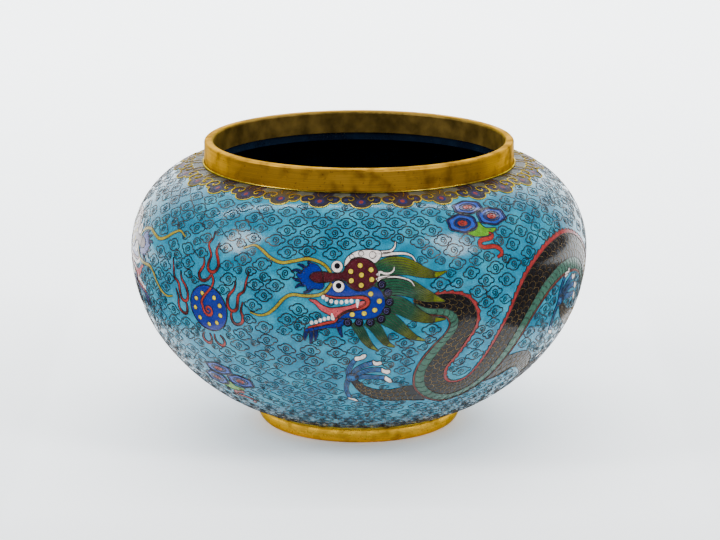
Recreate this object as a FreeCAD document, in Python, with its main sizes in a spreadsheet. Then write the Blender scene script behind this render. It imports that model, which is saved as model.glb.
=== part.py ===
import FreeCAD, Part
import math
import operator
import os
import Sketcher
from FreeCAD import Placement, Rotation, Vector

# A cloisonne vase: a squat copper body brazed from two spun halves, gilt brass collar and foot,
# enamel fused over the copper inside and out, and wires that fence the cells of the decoration.
#
# Millimetres, +Z up. The origin is the centre of the face that the foot ring rests on, and the
# front of the vase looks along -Y. A place on the wall is given on its developed surface:
# "across" is the arc length around the belly from the front, positive to the right, and "up" is
# the arc length along the wall's profile from the belly, positive towards the neck.

DIMENSIONS = {
    # The outer profile, as four tangent arcs from the neck to the foot.
    "belly_radius": 90.0,
    "belly_height": 71.2,
    "shoulder_arc": 35.3,
    "shoulder_angle": 60.0,
    "lip_arc": 22.0,
    "lower_arc": 60.2,
    "lower_angle": 35.0,
    "flank_arc": 81.5,
    "base_height": 7.1,
    # The wall, from outside to inside.
    "enamel_depth": 1.0,
    "copper_depth": 1.2,
    "lining_depth": 0.6,
    "lap_angle": 4.0,
    # The mouth.
    "collar_radius": 61.0,
    "collar_wall": 3.6,
    "collar_top": 113.9,
    "collar_edge": 1.0,
    "collar_skirt": 1.2,
    "flange_top": 110.0,
    "lining_top": 105.0,
    # The foot.
    "foot_inner_radius": 34.5,
    "foot_rest_radius": 37.0,
    "foot_top_radius": 39.8,
    "foot_moulding": 5.2,
    "base_enamel_depth": 0.6,
    "bead_radius": 0.35,
    # The lappets of the border, drawn in plan.
    "lappet_count": 28.0,
    "lappet_neck": 3.0,
    "lappet_lobe_place": 68.13,
    "lappet_lobe_offset": 4.77,
    "lappet_lobe_radius": 2.6,
    "lappet_notch_place": 70.37,
    "lappet_notch_offset": 3.48,
    "lappet_tip_radius": 3.7,
    "lappet_band_radius": 67.5,
    "wire_width": 0.5,
}

doc = FreeCAD.newDocument("cloisonne_vase")


# ---- Dimensions ---------------------------------------------------------------------------------

sheet = doc.addObject("Spreadsheet::Sheet", "Dimensions")
for row, (name, value) in enumerate(DIMENSIONS.items(), start=1):
    sheet.set(f"A{row}", name)
    sheet.set(f"B{row}", str(value))
    sheet.setAlias(f"B{row}", name)
doc.recompute()


class Size:
    """A number together with the expression of spreadsheet cells that gives it."""

    def __init__(self, value, text):
        self.value = value
        self.text = text

    def joined(self, sign, action, other):
        other = as_size(other)
        return Size(action(self.value, other.value), f"({self.text} {sign} {other.text})")

    def __add__(self, other):
        return self.joined("+", operator.add, other)

    def __sub__(self, other):
        return self.joined("-", operator.sub, other)

    def __mul__(self, other):
        return self.joined("*", operator.mul, other)

    def __neg__(self):
        return Size(-self.value, f"(0 - {self.text})")


def as_size(number):
    return number if isinstance(number, Size) else Size(float(number), str(float(number)))


def cell(name):
    return Size(float(sheet.get(name)), f"Dimensions.{name}")


def root(size):
    return Size(math.sqrt(size.value), f"sqrt({size.text})")


def around(centre, radius, angle):
    """The point of a circle at an angle in degrees, as a pair of sizes."""
    cosine = Size(math.cos(math.radians(angle.value)), f"cos({angle.text})")
    sine = Size(math.sin(math.radians(angle.value)), f"sin({angle.text})")
    return (centre[0] + radius * cosine, centre[1] + radius * sine)


ZERO = as_size(0)
BELLY_HEIGHT = cell("belly_height")
BASE_HEIGHT = cell("base_height")
SHOULDER_CENTRE = (cell("belly_radius") - cell("shoulder_arc"), BELLY_HEIGHT)
LIP_CENTRE = around(SHOULDER_CENTRE, cell("shoulder_arc") - cell("lip_arc"), cell("shoulder_angle"))
LOWER_CENTRE = (cell("belly_radius") - cell("lower_arc"), BELLY_HEIGHT)
FLANK_CENTRE = around(LOWER_CENTRE, cell("lower_arc") - cell("flank_arc"), -cell("lower_angle"))
NECK_HEIGHT = LIP_CENTRE[1] + cell("lip_arc")


class Skin:
    """One surface of the wall: the outer profile moved inwards by a depth, from neck to base."""

    def __init__(self, depth, lowest):
        self.lip_arc = cell("lip_arc") - depth
        self.shoulder_arc = cell("shoulder_arc") - depth
        self.lower_arc = cell("lower_arc") - depth
        self.flank_arc = cell("flank_arc") - depth
        self.neck = (LIP_CENTRE[0], LIP_CENTRE[1] + self.lip_arc)
        self.shoulder = around(SHOULDER_CENTRE, self.shoulder_arc, cell("shoulder_angle"))
        self.belly = (SHOULDER_CENTRE[0] + self.shoulder_arc, BELLY_HEIGHT)
        self.lap = around(LOWER_CENTRE, self.lower_arc, -cell("lap_angle"))
        self.waist = around(LOWER_CENTRE, self.lower_arc, -cell("lower_angle"))
        drop = FLANK_CENTRE[1] - lowest
        reach = root(self.flank_arc * self.flank_arc - drop * drop)
        self.base = (FLANK_CENTRE[0] + reach, lowest)

    def neck_to_belly(self):
        return [(self.neck, "clockwise", self.lip_arc),
                (self.shoulder, "clockwise", self.shoulder_arc)]

    def belly_to_base(self):
        return [(self.belly, "clockwise", self.lower_arc),
                (self.waist, "clockwise", self.flank_arc),
                line_from(self.base)]

    def base_to_belly(self):
        return [(self.base, "anticlockwise", self.flank_arc),
                (self.waist, "anticlockwise", self.lower_arc)]

    def belly_to_neck(self):
        return [(self.belly, "anticlockwise", self.shoulder_arc),
                (self.shoulder, "anticlockwise", self.lip_arc),
                line_from(self.neck)]


def line_from(point):
    return (point, "straight", None)


# ---- Sketches and bodies ------------------------------------------------------------------------

def origin_feature(body, role):
    return next(item for item in body.Origin.OriginFeatures if item.Role == role)


def new_sketch(body, role):
    sketch = body.newObject("Sketcher::SketchObject", f"{body.Name}_sketch")
    sketch.AttachmentSupport = [(origin_feature(body, role), "")]
    sketch.MapMode = "FlatFace"
    sketch.Visibility = False
    return sketch


def bind(sketch, kind, arguments, size, name):
    """Add one driving dimension to a sketch and bind it to the spreadsheet."""
    index = sketch.addConstraint(Sketcher.Constraint(kind, *arguments, size.value))
    sketch.renameConstraint(index, name)
    sketch.setExpression(f"Constraints.{name}", size.text)


def arc_between(start, end, turn, radius):
    """An arc of less than half a circle; clockwise arcs run backwards in the sketch."""
    start = Vector(start[0].value, start[1].value, 0)
    end = Vector(end[0].value, end[1].value, 0)
    if turn == "clockwise":
        start, end = end, start
    chord = end - start
    rise = math.sqrt(radius.value ** 2 - chord.Length ** 2 / 4)
    side = Vector(-chord.y, chord.x, 0).normalize()
    centre = (start + end) * 0.5 + side * rise
    first = math.atan2(start.y - centre.y, start.x - centre.x)
    last = math.atan2(end.y - centre.y, end.x - centre.x)
    return Part.ArcOfCircle(Part.Circle(centre, Vector(0, 0, 1), radius.value), first, last)


def draw_loop(sketch, steps):
    """Draw a closed outline; each step is a corner, with the edge that leaves it."""
    starts = []
    ends = []
    for number, (corner, turn, radius) in enumerate(steps):
        following = steps[(number + 1) % len(steps)][0]
        if turn == "straight":
            run = Part.LineSegment(Vector(corner[0].value, corner[1].value, 0),
                                   Vector(following[0].value, following[1].value, 0))
        else:
            run = arc_between(corner, following, turn, radius)
        edge = sketch.addGeometry(run, False)
        backwards = turn == "clockwise"
        starts.append((edge, 2 if backwards else 1))
        ends.append((edge, 1 if backwards else 2))
    for number, (corner, turn, radius) in enumerate(steps):
        sketch.addConstraint(Sketcher.Constraint("Coincident", *ends[number - 1], *starts[number]))
        for kind, axis, size in (("DistanceX", -2, corner[0]), ("DistanceY", -1, corner[1])):
            if abs(size.value) < 1e-9:
                sketch.addConstraint(Sketcher.Constraint("PointOnObject", *starts[number], axis))
            else:
                label = f"{kind}_of_corner_{number}"
                bind(sketch, kind, (-1, 1, *starts[number]), size, label)
        if radius is not None:
            bind(sketch, "Radius", (starts[number][0],), radius, f"radius_{number}")


def turned_body(name, steps):
    """A body of revolution about Z from its section in the XZ plane."""
    body = doc.addObject("PartDesign::Body", name)
    sketch = new_sketch(body, "XZ_Plane")
    draw_loop(sketch, steps)
    revolve(body, sketch)
    return body


def revolve(body, sketch):
    turning = body.newObject("PartDesign::Revolution", f"{body.Name}_revolution")
    turning.Profile = sketch
    turning.ReferenceAxis = (sketch, ["V_Axis"])
    turning.Angle = 360


def bead_ring(name, place):
    """A ring of round wire, with the centre of its section at a place in the XZ plane."""
    body = doc.addObject("PartDesign::Body", name)
    sketch = new_sketch(body, "XZ_Plane")
    centre = Vector(place[0].value, place[1].value, 0)
    bead = cell("bead_radius")
    circle = sketch.addGeometry(Part.Circle(centre, Vector(0, 0, 1), bead.value), False)
    bind(sketch, "DistanceX", (-1, 1, circle, 3), place[0], "ring_radius")
    bind(sketch, "DistanceY", (-1, 1, circle, 3), place[1], "ring_height")
    bind(sketch, "Radius", (circle,), bead, "wire_radius")
    revolve(body, sketch)
    return body


# ---- The metal body -----------------------------------------------------------------------------

ENAMEL = cell("enamel_depth")
COPPER_INSIDE = ENAMEL + cell("copper_depth")
LINING_INSIDE = COPPER_INSIDE + cell("lining_depth")
FLOOR_HEIGHT = BASE_HEIGHT + cell("copper_depth")

COLLAR_OUTSIDE = cell("collar_radius")
COLLAR_INSIDE = COLLAR_OUTSIDE - cell("collar_wall")
FLANGE_OUTSIDE = COLLAR_OUTSIDE - cell("collar_skirt")
FLANGE_INSIDE = FLANGE_OUTSIDE - cell("copper_depth")

enamel_face = Skin(ZERO, BASE_HEIGHT)
copper_face = Skin(ENAMEL, BASE_HEIGHT)
copper_middle = Skin(ENAMEL + cell("copper_depth") * 0.5, BASE_HEIGHT)
copper_back = Skin(COPPER_INSIDE, FLOOR_HEIGHT)
lining_face = Skin(LINING_INSIDE, FLOOR_HEIGHT + cell("lining_depth"))


def copper_upper_half():
    """The shoulder, with the neck flange and the outer half of the lap joint at the belly."""
    return ([line_from((FLANGE_OUTSIDE, cell("flange_top"))),
             line_from((FLANGE_OUTSIDE, copper_face.neck[1]))]
            + copper_face.neck_to_belly()
            + [(copper_face.belly, "clockwise", copper_face.lower_arc),
               line_from(copper_face.lap),
               (copper_middle.lap, "anticlockwise", copper_middle.lower_arc),
               line_from(copper_middle.belly)]
            + copper_back.belly_to_neck()
            + [line_from((FLANGE_INSIDE, copper_back.neck[1])),
               line_from((FLANGE_INSIDE, cell("flange_top")))])


def copper_lower_half():
    """The bowl with its flat base and the inner half of the lap joint."""
    return ([(copper_middle.belly, "clockwise", copper_middle.lower_arc),
             line_from(copper_middle.lap),
             (copper_face.lap, "clockwise", copper_face.lower_arc),
             (copper_face.waist, "clockwise", copper_face.flank_arc),
             line_from(copper_face.base),
             line_from((ZERO, BASE_HEIGHT)),
             line_from((ZERO, FLOOR_HEIGHT))]
            + copper_back.base_to_belly()
            + [line_from(copper_back.belly)])


def collar_section():
    """A channel that caps the neck flange, with its top edges rounded."""
    top = cell("collar_top")
    edge = cell("collar_edge")
    return [line_from((COLLAR_OUTSIDE, NECK_HEIGHT)),
            ((COLLAR_OUTSIDE, top - edge), "anticlockwise", edge),
            line_from((COLLAR_OUTSIDE - edge, top)),
            ((COLLAR_INSIDE + edge, top), "anticlockwise", edge),
            line_from((COLLAR_INSIDE, top - edge)),
            line_from((COLLAR_INSIDE, cell("lining_top"))),
            line_from((FLANGE_INSIDE, cell("lining_top"))),
            line_from((FLANGE_INSIDE, cell("flange_top"))),
            line_from((FLANGE_OUTSIDE, cell("flange_top"))),
            line_from((FLANGE_OUTSIDE, NECK_HEIGHT))]


def foot_section():
    return [line_from((cell("foot_inner_radius"), ZERO)),
            ((cell("foot_rest_radius"), ZERO), "anticlockwise", cell("foot_moulding")),
            line_from((cell("foot_top_radius"), BASE_HEIGHT)),
            line_from((cell("foot_inner_radius"), BASE_HEIGHT))]


copper_body_upper = turned_body("copper_body_upper", copper_upper_half())
copper_body_lower = turned_body("copper_body_lower", copper_lower_half())
rim_collar = turned_body("rim_collar", collar_section())
foot_ring = turned_body("foot_ring", foot_section())

bead = cell("bead_radius")
collar_wire_ring = bead_ring("collar_wire_ring", (COLLAR_OUTSIDE + bead, NECK_HEIGHT + bead))
foot_wire_ring = bead_ring("foot_wire_ring", (cell("foot_top_radius") + bead * 1.6,
                                              BASE_HEIGHT - bead))


# ---- The enamel that covers whole surfaces ------------------------------------------------------

def lining_section():
    """The counter enamel that lines the inside, up to the collar."""
    lip = FLANGE_INSIDE - cell("lining_depth")
    return ([line_from((FLANGE_INSIDE, cell("lining_top"))),
             line_from((FLANGE_INSIDE, copper_back.neck[1]))]
            + copper_back.neck_to_belly()
            + copper_back.belly_to_base()
            + [line_from((ZERO, FLOOR_HEIGHT)),
               line_from((ZERO, lining_face.base[1]))]
            + lining_face.base_to_belly()
            + [(lining_face.belly, "anticlockwise", lining_face.shoulder_arc),
               (lining_face.shoulder, "anticlockwise", lining_face.lip_arc),
               line_from(lining_face.neck),
               line_from((lip, lining_face.neck[1])),
               line_from((lip, cell("lining_top")))])


def base_enamel_section():
    under = BASE_HEIGHT - cell("base_enamel_depth")
    return [line_from((ZERO, under)),
            line_from((cell("foot_inner_radius"), under)),
            line_from((cell("foot_inner_radius"), BASE_HEIGHT)),
            line_from((ZERO, BASE_HEIGHT))]


def outer_enamel_section():
    """The whole outer layer of enamel and wire, before it is shared out among its cells."""
    return ([line_from((FLANGE_OUTSIDE, NECK_HEIGHT))]
            + enamel_face.neck_to_belly()
            + enamel_face.belly_to_base()
            + copper_face.base_to_belly()
            + copper_face.belly_to_neck()
            + [line_from((FLANGE_OUTSIDE, copper_face.neck[1]))])


interior_enamel = turned_body("interior_enamel", lining_section())
base_enamel = turned_body("base_enamel", base_enamel_section())
outer_layer = turned_body("outer_layer", outer_enamel_section())


# ---- Booleans -----------------------------------------------------------------------------------

def common(name, first, second):
    result = doc.addObject("Part::MultiCommon", name)
    result.Shapes = [first, second]
    return result


def cut(name, base, tool):
    result = doc.addObject("Part::Cut", name)
    result.Base = base
    result.Tool = tool
    return result


def fused(name, parts):
    result = doc.addObject("Part::MultiFuse", name)
    result.Shapes = parts
    return result


# ---- The border of lappets round the shoulder ---------------------------------------------------

def lappet_steps(growth):
    """A lappet in plan, pointing along +X: a neck at the collar, two side lobes and a tip."""
    neck = cell("lappet_neck") + growth
    lobe = cell("lappet_lobe_radius") + growth
    place = cell("lappet_lobe_place")
    offset = cell("lappet_lobe_offset")
    notch_place = cell("lappet_notch_place") + growth * 1.35
    notch_offset = cell("lappet_notch_offset") + growth * 0.5
    side = offset - neck
    joint_place = place - root(lobe * lobe - side * side)
    collar = FLANGE_OUTSIDE - 1
    return [line_from((collar, -neck)),
            ((joint_place, -neck), "anticlockwise", lobe),
            ((place, -(offset + lobe)), "anticlockwise", lobe),
            ((notch_place, -notch_offset), "anticlockwise", cell("lappet_tip_radius") + growth),
            ((notch_place, notch_offset), "anticlockwise", lobe),
            ((place, offset + lobe), "anticlockwise", lobe),
            line_from((joint_place, neck)),
            line_from((collar, neck))]


def lappet_prisms(name, growth, repeated):
    """One lappet as an upright prism above the belly, or the whole ring of them."""
    body = doc.addObject("PartDesign::Body", name)
    body.AllowCompound = True
    sketch = new_sketch(body, "XY_Plane")
    draw_loop(sketch, lappet_steps(growth))
    sketch.setExpression("AttachmentOffset.Base.z", "Dimensions.belly_height")
    pad = body.newObject("PartDesign::Pad", f"{name}_pad")
    pad.Profile = sketch
    pad.setExpression("Length", "Dimensions.collar_top - Dimensions.belly_height")
    if repeated:
        doc.recompute()
        pattern = body.newObject("PartDesign::PolarPattern", f"{name}_pattern")
        pattern.Originals = [pad]
        pattern.Axis = (sketch, ["N_Axis"])
        pattern.Angle = 360
        pattern.setExpression("Occurrences", "Dimensions.lappet_count")
        body.Tip = pattern
    body.Placement = Placement(Vector(), Rotation(Vector(0, 0, 1), -90))
    return body


def copies_around(name, source, first, step, count):
    """A node that holds copies of one small solid, set around the axis at even steps."""
    pitch = 360 / cell("lappet_count").value
    ring = doc.addObject("Part::Feature", name)
    doc.recompute()
    copies = [source.Shape.rotated(Vector(), Vector(0, 0, 1), (first + step * number) * pitch)
              for number in range(count)]
    ring.Shape = Part.makeCompound(copies)
    return ring


half_wire = cell("wire_width") * 0.5
lappet_number = int(cell("lappet_count").value)
lappets_outer = lappet_prisms("lappets_outer", half_wire, True)
lappet_outer = lappet_prisms("lappet_outer", half_wire, False)
lappet_inner = lappet_prisms("lappet_inner", -half_wire, False)
lappet_patch = common("lappet_patch", outer_layer, lappet_outer)
lappet_enamel = common("lappet_enamel", lappet_patch, lappet_inner)
lappet_wire = cut("lappet_wire", lappet_patch, lappet_inner)
ruyi_lappets_dark_enamel = copies_around("ruyi_lappets_dark_enamel", lappet_enamel, 0, 2,
                                         lappet_number // 2)
ruyi_lappets_olive_enamel = copies_around("ruyi_lappets_olive_enamel", lappet_enamel, 1, 2,
                                          lappet_number // 2)
ruyi_border_wire = copies_around("ruyi_border_wire", lappet_wire, 0, 1, lappet_number)

band_cylinder = doc.addObject("Part::Cylinder", "border_band")
band_cylinder.setExpression("Radius", "Dimensions.lappet_band_radius")
band_cylinder.setExpression("Height", "Dimensions.collar_top")
band_cylinder.setExpression("Placement.Base.z", "Dimensions.belly_height")
border_band = common("border_band_layer", outer_layer, band_cylinder)
border_ground_enamel = cut("border_ground_enamel", border_band, lappets_outer)


# ---- Cells drawn on the developed wall ----------------------------------------------------------

def wall_point(across, up, lift):
    """The point of the wall at a place on its developed surface, lifted along its normal."""
    shoulder_run = cell("shoulder_arc").value * math.radians(cell("shoulder_angle").value)
    lower_run = cell("lower_arc").value * math.radians(cell("lower_angle").value)
    if up > shoulder_run:
        centre, arc = LIP_CENTRE, cell("lip_arc").value
        angle = math.radians(cell("shoulder_angle").value) + (up - shoulder_run) / arc
    elif up > 0:
        centre, arc = SHOULDER_CENTRE, cell("shoulder_arc").value
        angle = up / arc
    elif up > -lower_run:
        centre, arc = LOWER_CENTRE, cell("lower_arc").value
        angle = up / arc
    else:
        centre, arc = FLANK_CENTRE, cell("flank_arc").value
        angle = -math.radians(cell("lower_angle").value) + (up + lower_run) / arc
    radius = centre[0].value + (arc + lift) * math.cos(angle)
    height = centre[1].value + (arc + lift) * math.sin(angle)
    turn = across / cell("belly_radius").value
    return Vector(radius * math.sin(turn), -radius * math.cos(turn), height)


def flat(points):
    return [Vector(across, up, 0) for across, up in points]


def smooth_loop(points, count):
    """Places evenly spaced on a closed spline through a few points."""
    spline = Part.BSplineCurve()
    spline.interpolate(flat(points), PeriodicFlag=True)
    return spline.discretize(Number=count + 1)[:-1]


def disc(centre, radius, count=24):
    turn = 2 * math.pi / count
    return [Vector(centre[0] + radius * math.cos(turn * step),
                   centre[1] + radius * math.sin(turn * step), 0) for step in range(count)]


def smooth_edge(points, count):
    """Places evenly spaced on an open spline through a few points."""
    spline = Part.BSplineCurve()
    spline.interpolate(flat(points))
    return spline.discretize(Number=count)


def between_edges(first, second, count):
    """The outline between two edges that end at the same place."""
    return smooth_edge(first, count) + smooth_edge(second, count)[-2::-1]


def band(centre_line, half_widths, count):
    """A band along a spline, whose half width runs evenly through the given values."""
    middle = smooth_edge(centre_line, count)
    left = []
    right = []
    for step, point in enumerate(middle):
        along = middle[min(step + 1, count - 1)] - middle[max(step - 1, 0)]
        across = Vector(-along.y, along.x, 0).normalize()
        place = step / (count - 1) * (len(half_widths) - 1)
        lower = min(int(place), len(half_widths) - 2)
        share = place - lower
        width = half_widths[lower] * (1 - share) + half_widths[lower + 1] * share
        left.append(point + across * width)
        right.append(point - across * width)
    return right + left[::-1]


def anticlockwise(outline):
    following = outline[1:] + outline[:1]
    area = sum(a.x * b.y - b.x * a.y for a, b in zip(outline, following))
    return outline if area > 0 else outline[::-1]


def grown(outline, distance):
    """The outline with every point moved outwards, square to its neighbours."""
    points = anticlockwise(outline)
    moved = []
    for number, point in enumerate(points):
        following = points[(number + 1) % len(points)]
        along = following - points[number - 1]
        outwards = Vector(along.y, -along.x, 0).normalize()
        moved.append(point + outwards * distance)
    return moved


CELL_FLOOR = -1.3
CELL_ROOF = 7.0


def cell_tool(name, outline):
    """A closed tool that stands square to the wall all along an outline drawn on it."""
    outline = anticlockwise(outline)
    count = len(outline)
    face = Part.Face(Part.makePolygon(outline + outline[:1]))
    corners, triangles = face.tessellate(0.5)
    number_of = {(round(point.x, 4), round(point.y, 4)): number
                 for number, point in enumerate(outline)}
    order = [number_of[round(point.x, 4), round(point.y, 4)] for point in corners]
    floor = [wall_point(point.x, point.y, CELL_FLOOR) for point in outline]
    roof = [wall_point(point.x, point.y, CELL_ROOF) for point in outline]
    facets = []
    for first, second, third in triangles:
        facets.append((order[third], order[second], order[first]))
        facets.append((order[first] + count, order[second] + count, order[third] + count))
    for start in range(count):
        end = (start + 1) % count
        facets.append((start, end, end + count))
        facets.append((start, end + count, start + count))
    shape = Part.Shape()
    shape.makeShapeFromMesh((floor + roof, facets), 1e-4)
    solid = Part.Solid(shape.Shells[0])
    if solid.Volume < 0:
        solid.reverse()
    tool = doc.addObject("Part::Feature", name)
    tool.Shape = solid
    return tool


def inlay(name, outline, covers=()):
    """The enamel, the wire and the tool of one cell; the tools in covers lie on top of it."""
    half = half_wire.value
    outer = cell_tool(f"{name}_outer_tool", grown(outline, half))
    inner = cell_tool(f"{name}_inner_tool", grown(outline, -half))
    patch = common(f"{name}_patch", outer_layer, outer)
    for number, cover in enumerate(covers):
        patch = cut(f"{name}_patch_under_{number}", patch, cover)
    enamel = common(f"{name}_enamel_layer", patch, inner)
    wire = cut(f"{name}_wire_layer", patch, inner)
    return enamel, wire, outer


def mirrored(name, source):
    """The mirror image of an object in the upright plane through the axis and the pearl."""
    turn = PEARL_PLACE[0] / cell("belly_radius").value
    image = doc.addObject("Part::Mirroring", name)
    image.Source = source
    image.Normal = Vector(math.cos(turn), math.sin(turn), 0)
    return image


def group(name, parts):
    """One node that holds several separate solids."""
    together = doc.addObject("Part::Compound", name)
    together.Links = parts
    return together


# ---- The dragons --------------------------------------------------------------------------------

PEARL_PLACE = (-62.0, -9.0)
PEARL_RADIUS = 9.2

HEAD = [(-24, 8), (-20, 12.3), (-13, 11), (-9, 14.4), (-5, 15), (0, 18), (6, 17.8), (8, 13.5),
        (8.2, 7), (9.8, 2), (10.2, -2), (8, -6), (3, -8), (-3, -8), (-8, -9.5), (-13, -10.8),
        (-20, -12), (-18.5, -9.5), (-13, -6), (-12, -2.5), (-16.5, -0.8), (-19.5, 3.2),
        (-21.5, 5)]
MANE = [(4, 8), (6, 13), (10, 15.2), (15, 15.3), (20, 13.4), (26, 10.2), (33.5, 8.8), (27, 6.5),
        (21, 6.3), (24, 3.2), (28.5, 0), (33, -2.3), (27, -2.4), (20.5, -0.6), (22, -4), (27, -8),
        (33, -9.4), (26, -10.4), (20, -9.5), (14.5, -6.8), (17, -11), (21, -15), (25.5, -17.6),
        (19, -16.8), (13, -13), (8.2, -10), (10, -14.5), (13.8, -19.7), (9, -18.5), (5, -13.5),
        (2.3, -11.6), (3.5, -16), (7.2, -21), (2.5, -18.5), (-0.5, -13), (-2.5, -9), (0, -5)]
BODY_FIN_EDGE = [(24, -0.5), (34, 1.3), (44, -2), (47.6, -11), (43, -22), (38, -32), (41, -39),
                 (47, -39.8), (52, -33), (57, -20), (62.5, -7.5), (69, 4), (80, 11), (97, 15),
                 (110, 12), (126, 1), (139, -17), (150, -31), (160, -30), (168, -18), (180, 0),
                 (192, 4), (205, -4)]
BODY_BELLY_EDGE = [(26, -7.5), (33.5, -9.5), (33.5, -15), (27, -22), (23, -34), (28, -46.5),
                   (38, -52.5), (49, -53), (60, -46), (67, -33), (77, -14), (88, -4.5),
                   (103, -2), (119, -12), (131, -31), (142, -44), (157, -46.5), (171, -38),
                   (182, -17), (192, -8), (205, -4)]
BODY_POINTS = 36
FORELEG_LINE = [(30, -46), (22, -45.5), (15, -46), (8, -45), (2, -41.5), (-1, -37.5)]
FORELEG_HALF_WIDTHS = [6, 5.3, 4.5, 3.8, 3, 2]
HIND_LEG_LINE = [(58, -38), (66, -37.5), (74, -35.5), (81, -36), (88, -41), (94, -46.5)]
HIND_LEG_HALF_WIDTHS = [6.5, 6, 4.5, 4, 3.5, 2.5]
FAR_LEG_LINE = [(132, -22), (121, -24.5), (110, -22.5), (101, -18.5), (98, -15)]
FAR_LEG_HALF_WIDTHS = [5, 4.2, 3.6, 3, 2]
PAW = [(-1, -24), (3.5, -24.5), (9, -27), (13, -32.5), (14.5, -38), (10, -35.5), (4, -36),
       (0, -38), (-3, -38.5), (-3.5, -44), (-0.5, -49.5), (-5.5, -47.5), (-6.2, -40),
       (-4.8, -33), (-3.5, -28)]
HIND_PAW_SHIFT = (97, -13)
FAR_PAW_SHIFT = (97, 21)


def shifted(points, shift):
    return [(across + shift[0], up + shift[1]) for across, up in points]


def dragon_cells():
    """The cells of one dragon, by name, with the head on top and the legs at the bottom."""
    cells = {"head": inlay("head", smooth_loop(HEAD, 30))}
    cells["mane"] = inlay("mane", flat(MANE), covers=[cells["head"][2]])
    for place, shift in (("fore", (0, 0)), ("hind", HIND_PAW_SHIFT), ("far", FAR_PAW_SHIFT)):
        cells[f"{place}_paw"] = inlay(f"{place}_paw", flat(shifted(PAW, shift)))
    upper = [cells["head"][2], cells["mane"][2]]
    body = between_edges(BODY_FIN_EDGE, BODY_BELLY_EDGE, BODY_POINTS)
    cells["body"] = inlay("body", body, covers=upper)
    for place, line, widths in (("fore", FORELEG_LINE, FORELEG_HALF_WIDTHS),
                                ("hind", HIND_LEG_LINE, HIND_LEG_HALF_WIDTHS),
                                ("far", FAR_LEG_LINE, FAR_LEG_HALF_WIDTHS)):
        above = [cells["body"][2], cells[f"{place}_paw"][2]]
        cells[f"{place}_leg"] = inlay(f"{place}_leg", band(line, widths, 9), covers=above)
    return cells


def dragons():
    """The nodes of the right dragon and of the left one, which is its mirror image."""
    cells = dragon_cells()
    legs = [cells[f"{place}_leg"][0] for place in ("fore", "hind", "far")]
    paws = [cells[f"{place}_paw"][0] for place in ("fore", "hind", "far")]
    members = {"head_enamel": [cells["head"][0]],
               "mane_enamel": [cells["mane"][0]],
               "body_enamel": [cells["body"][0]],
               "legs_enamel": legs,
               "paws_enamel": paws,
               "outline_wire": [drawing[1] for drawing in cells.values()]}
    right = [group(f"dragon_right_{name}", parts) for name, parts in members.items()]
    left = [mirrored(f"dragon_left_{name}", source) for name, source in zip(members, right)]
    tool = fused("dragon_right_tool", [drawing[2] for drawing in cells.values()])
    return right + left, [tool, mirrored("dragon_left_tool", tool)]


dragon_nodes, dragon_tools = dragons()


# ---- The flaming pearl --------------------------------------------------------------------------

FLAME_HALF_WIDTH = 0.85
FLAME_TOP = [(-58.4, 17), (-59, 13.8), (-57.4, 10.5), (-56.9, 8), (-58.2, 6), (-60.3, 5.6),
             (-61.8, 7), (-61.6, 9.5), (-61.2, 12), (-63.6, 15.5), (-62.4, 18.4), (-62.8, 21)]
FLAME_SIDE = [(-48.3, 3.5), (-49, 0.5), (-51.4, -2.2), (-52.2, -5), (-51.6, -7.4), (-50, -8.2),
              (-48.2, -7.2), (-47.6, -4.6), (-47, -1.6), (-44.6, 0.4), (-43.8, 4), (-42.8, 7.5)]
FLAME_FOOT = [(-66.4, -19.5), (-67.8, -21.4), (-67.6, -23.4), (-65.8, -24.4), (-63.9, -23.4),
              (-63.2, -21.6), (-63.5, -19.5)]


def flaming_pearl():
    """The pearl and its five flames; the flames at its sides and foot are in mirrored pairs."""
    pearl = inlay("pearl", disc(PEARL_PLACE, PEARL_RADIUS))
    widths = [FLAME_HALF_WIDTH, FLAME_HALF_WIDTH]
    enamel = []
    wire = [pearl[1]]
    tools = [pearl[2]]
    for place, line in (("top", FLAME_TOP), ("side", FLAME_SIDE), ("foot", FLAME_FOOT)):
        flame = inlay(f"flame_{place}", band(line, widths, 16))
        enamel.append(flame[0])
        wire.append(flame[1])
        tools.append(flame[2])
        if place != "top":
            enamel.append(mirrored(f"flame_{place}_twin_enamel", flame[0]))
            wire.append(mirrored(f"flame_{place}_twin_wire", flame[1]))
            tools.append(mirrored(f"flame_{place}_twin_tool", flame[2]))
    nodes = [group("pearl_enamel", [pearl[0]]),
             group("pearl_flames_enamel", enamel),
             group("pearl_outline_wire", wire)]
    return nodes, tools


pearl_nodes, pearl_tools = flaming_pearl()


# ---- The clusters of coloured clouds ------------------------------------------------------------

CLUSTER_PLACES = {"shoulder": (52.6, 28), "pearl": (-62, -45), "back": (220.7, 28)}
LOBES = {"left": (-7.4, -1.2), "right": (8.2, 0), "top": (-1.2, 5.4)}
LOBE_HALF_SIZE = (7.2, 3.9)
LOBE_POINTS = 14
CLUSTER_BASE = [(-6.5, -6), (8, -5), (3, 0), (-1, 2), (-3, 0)]


def lobe_outline(across, up):
    turn = 2 * math.pi / LOBE_POINTS
    return [Vector(across + LOBE_HALF_SIZE[0] * math.cos(turn * step),
                   up + LOBE_HALF_SIZE[1] * math.sin(turn * step), 0)
            for step in range(LOBE_POINTS)]


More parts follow.
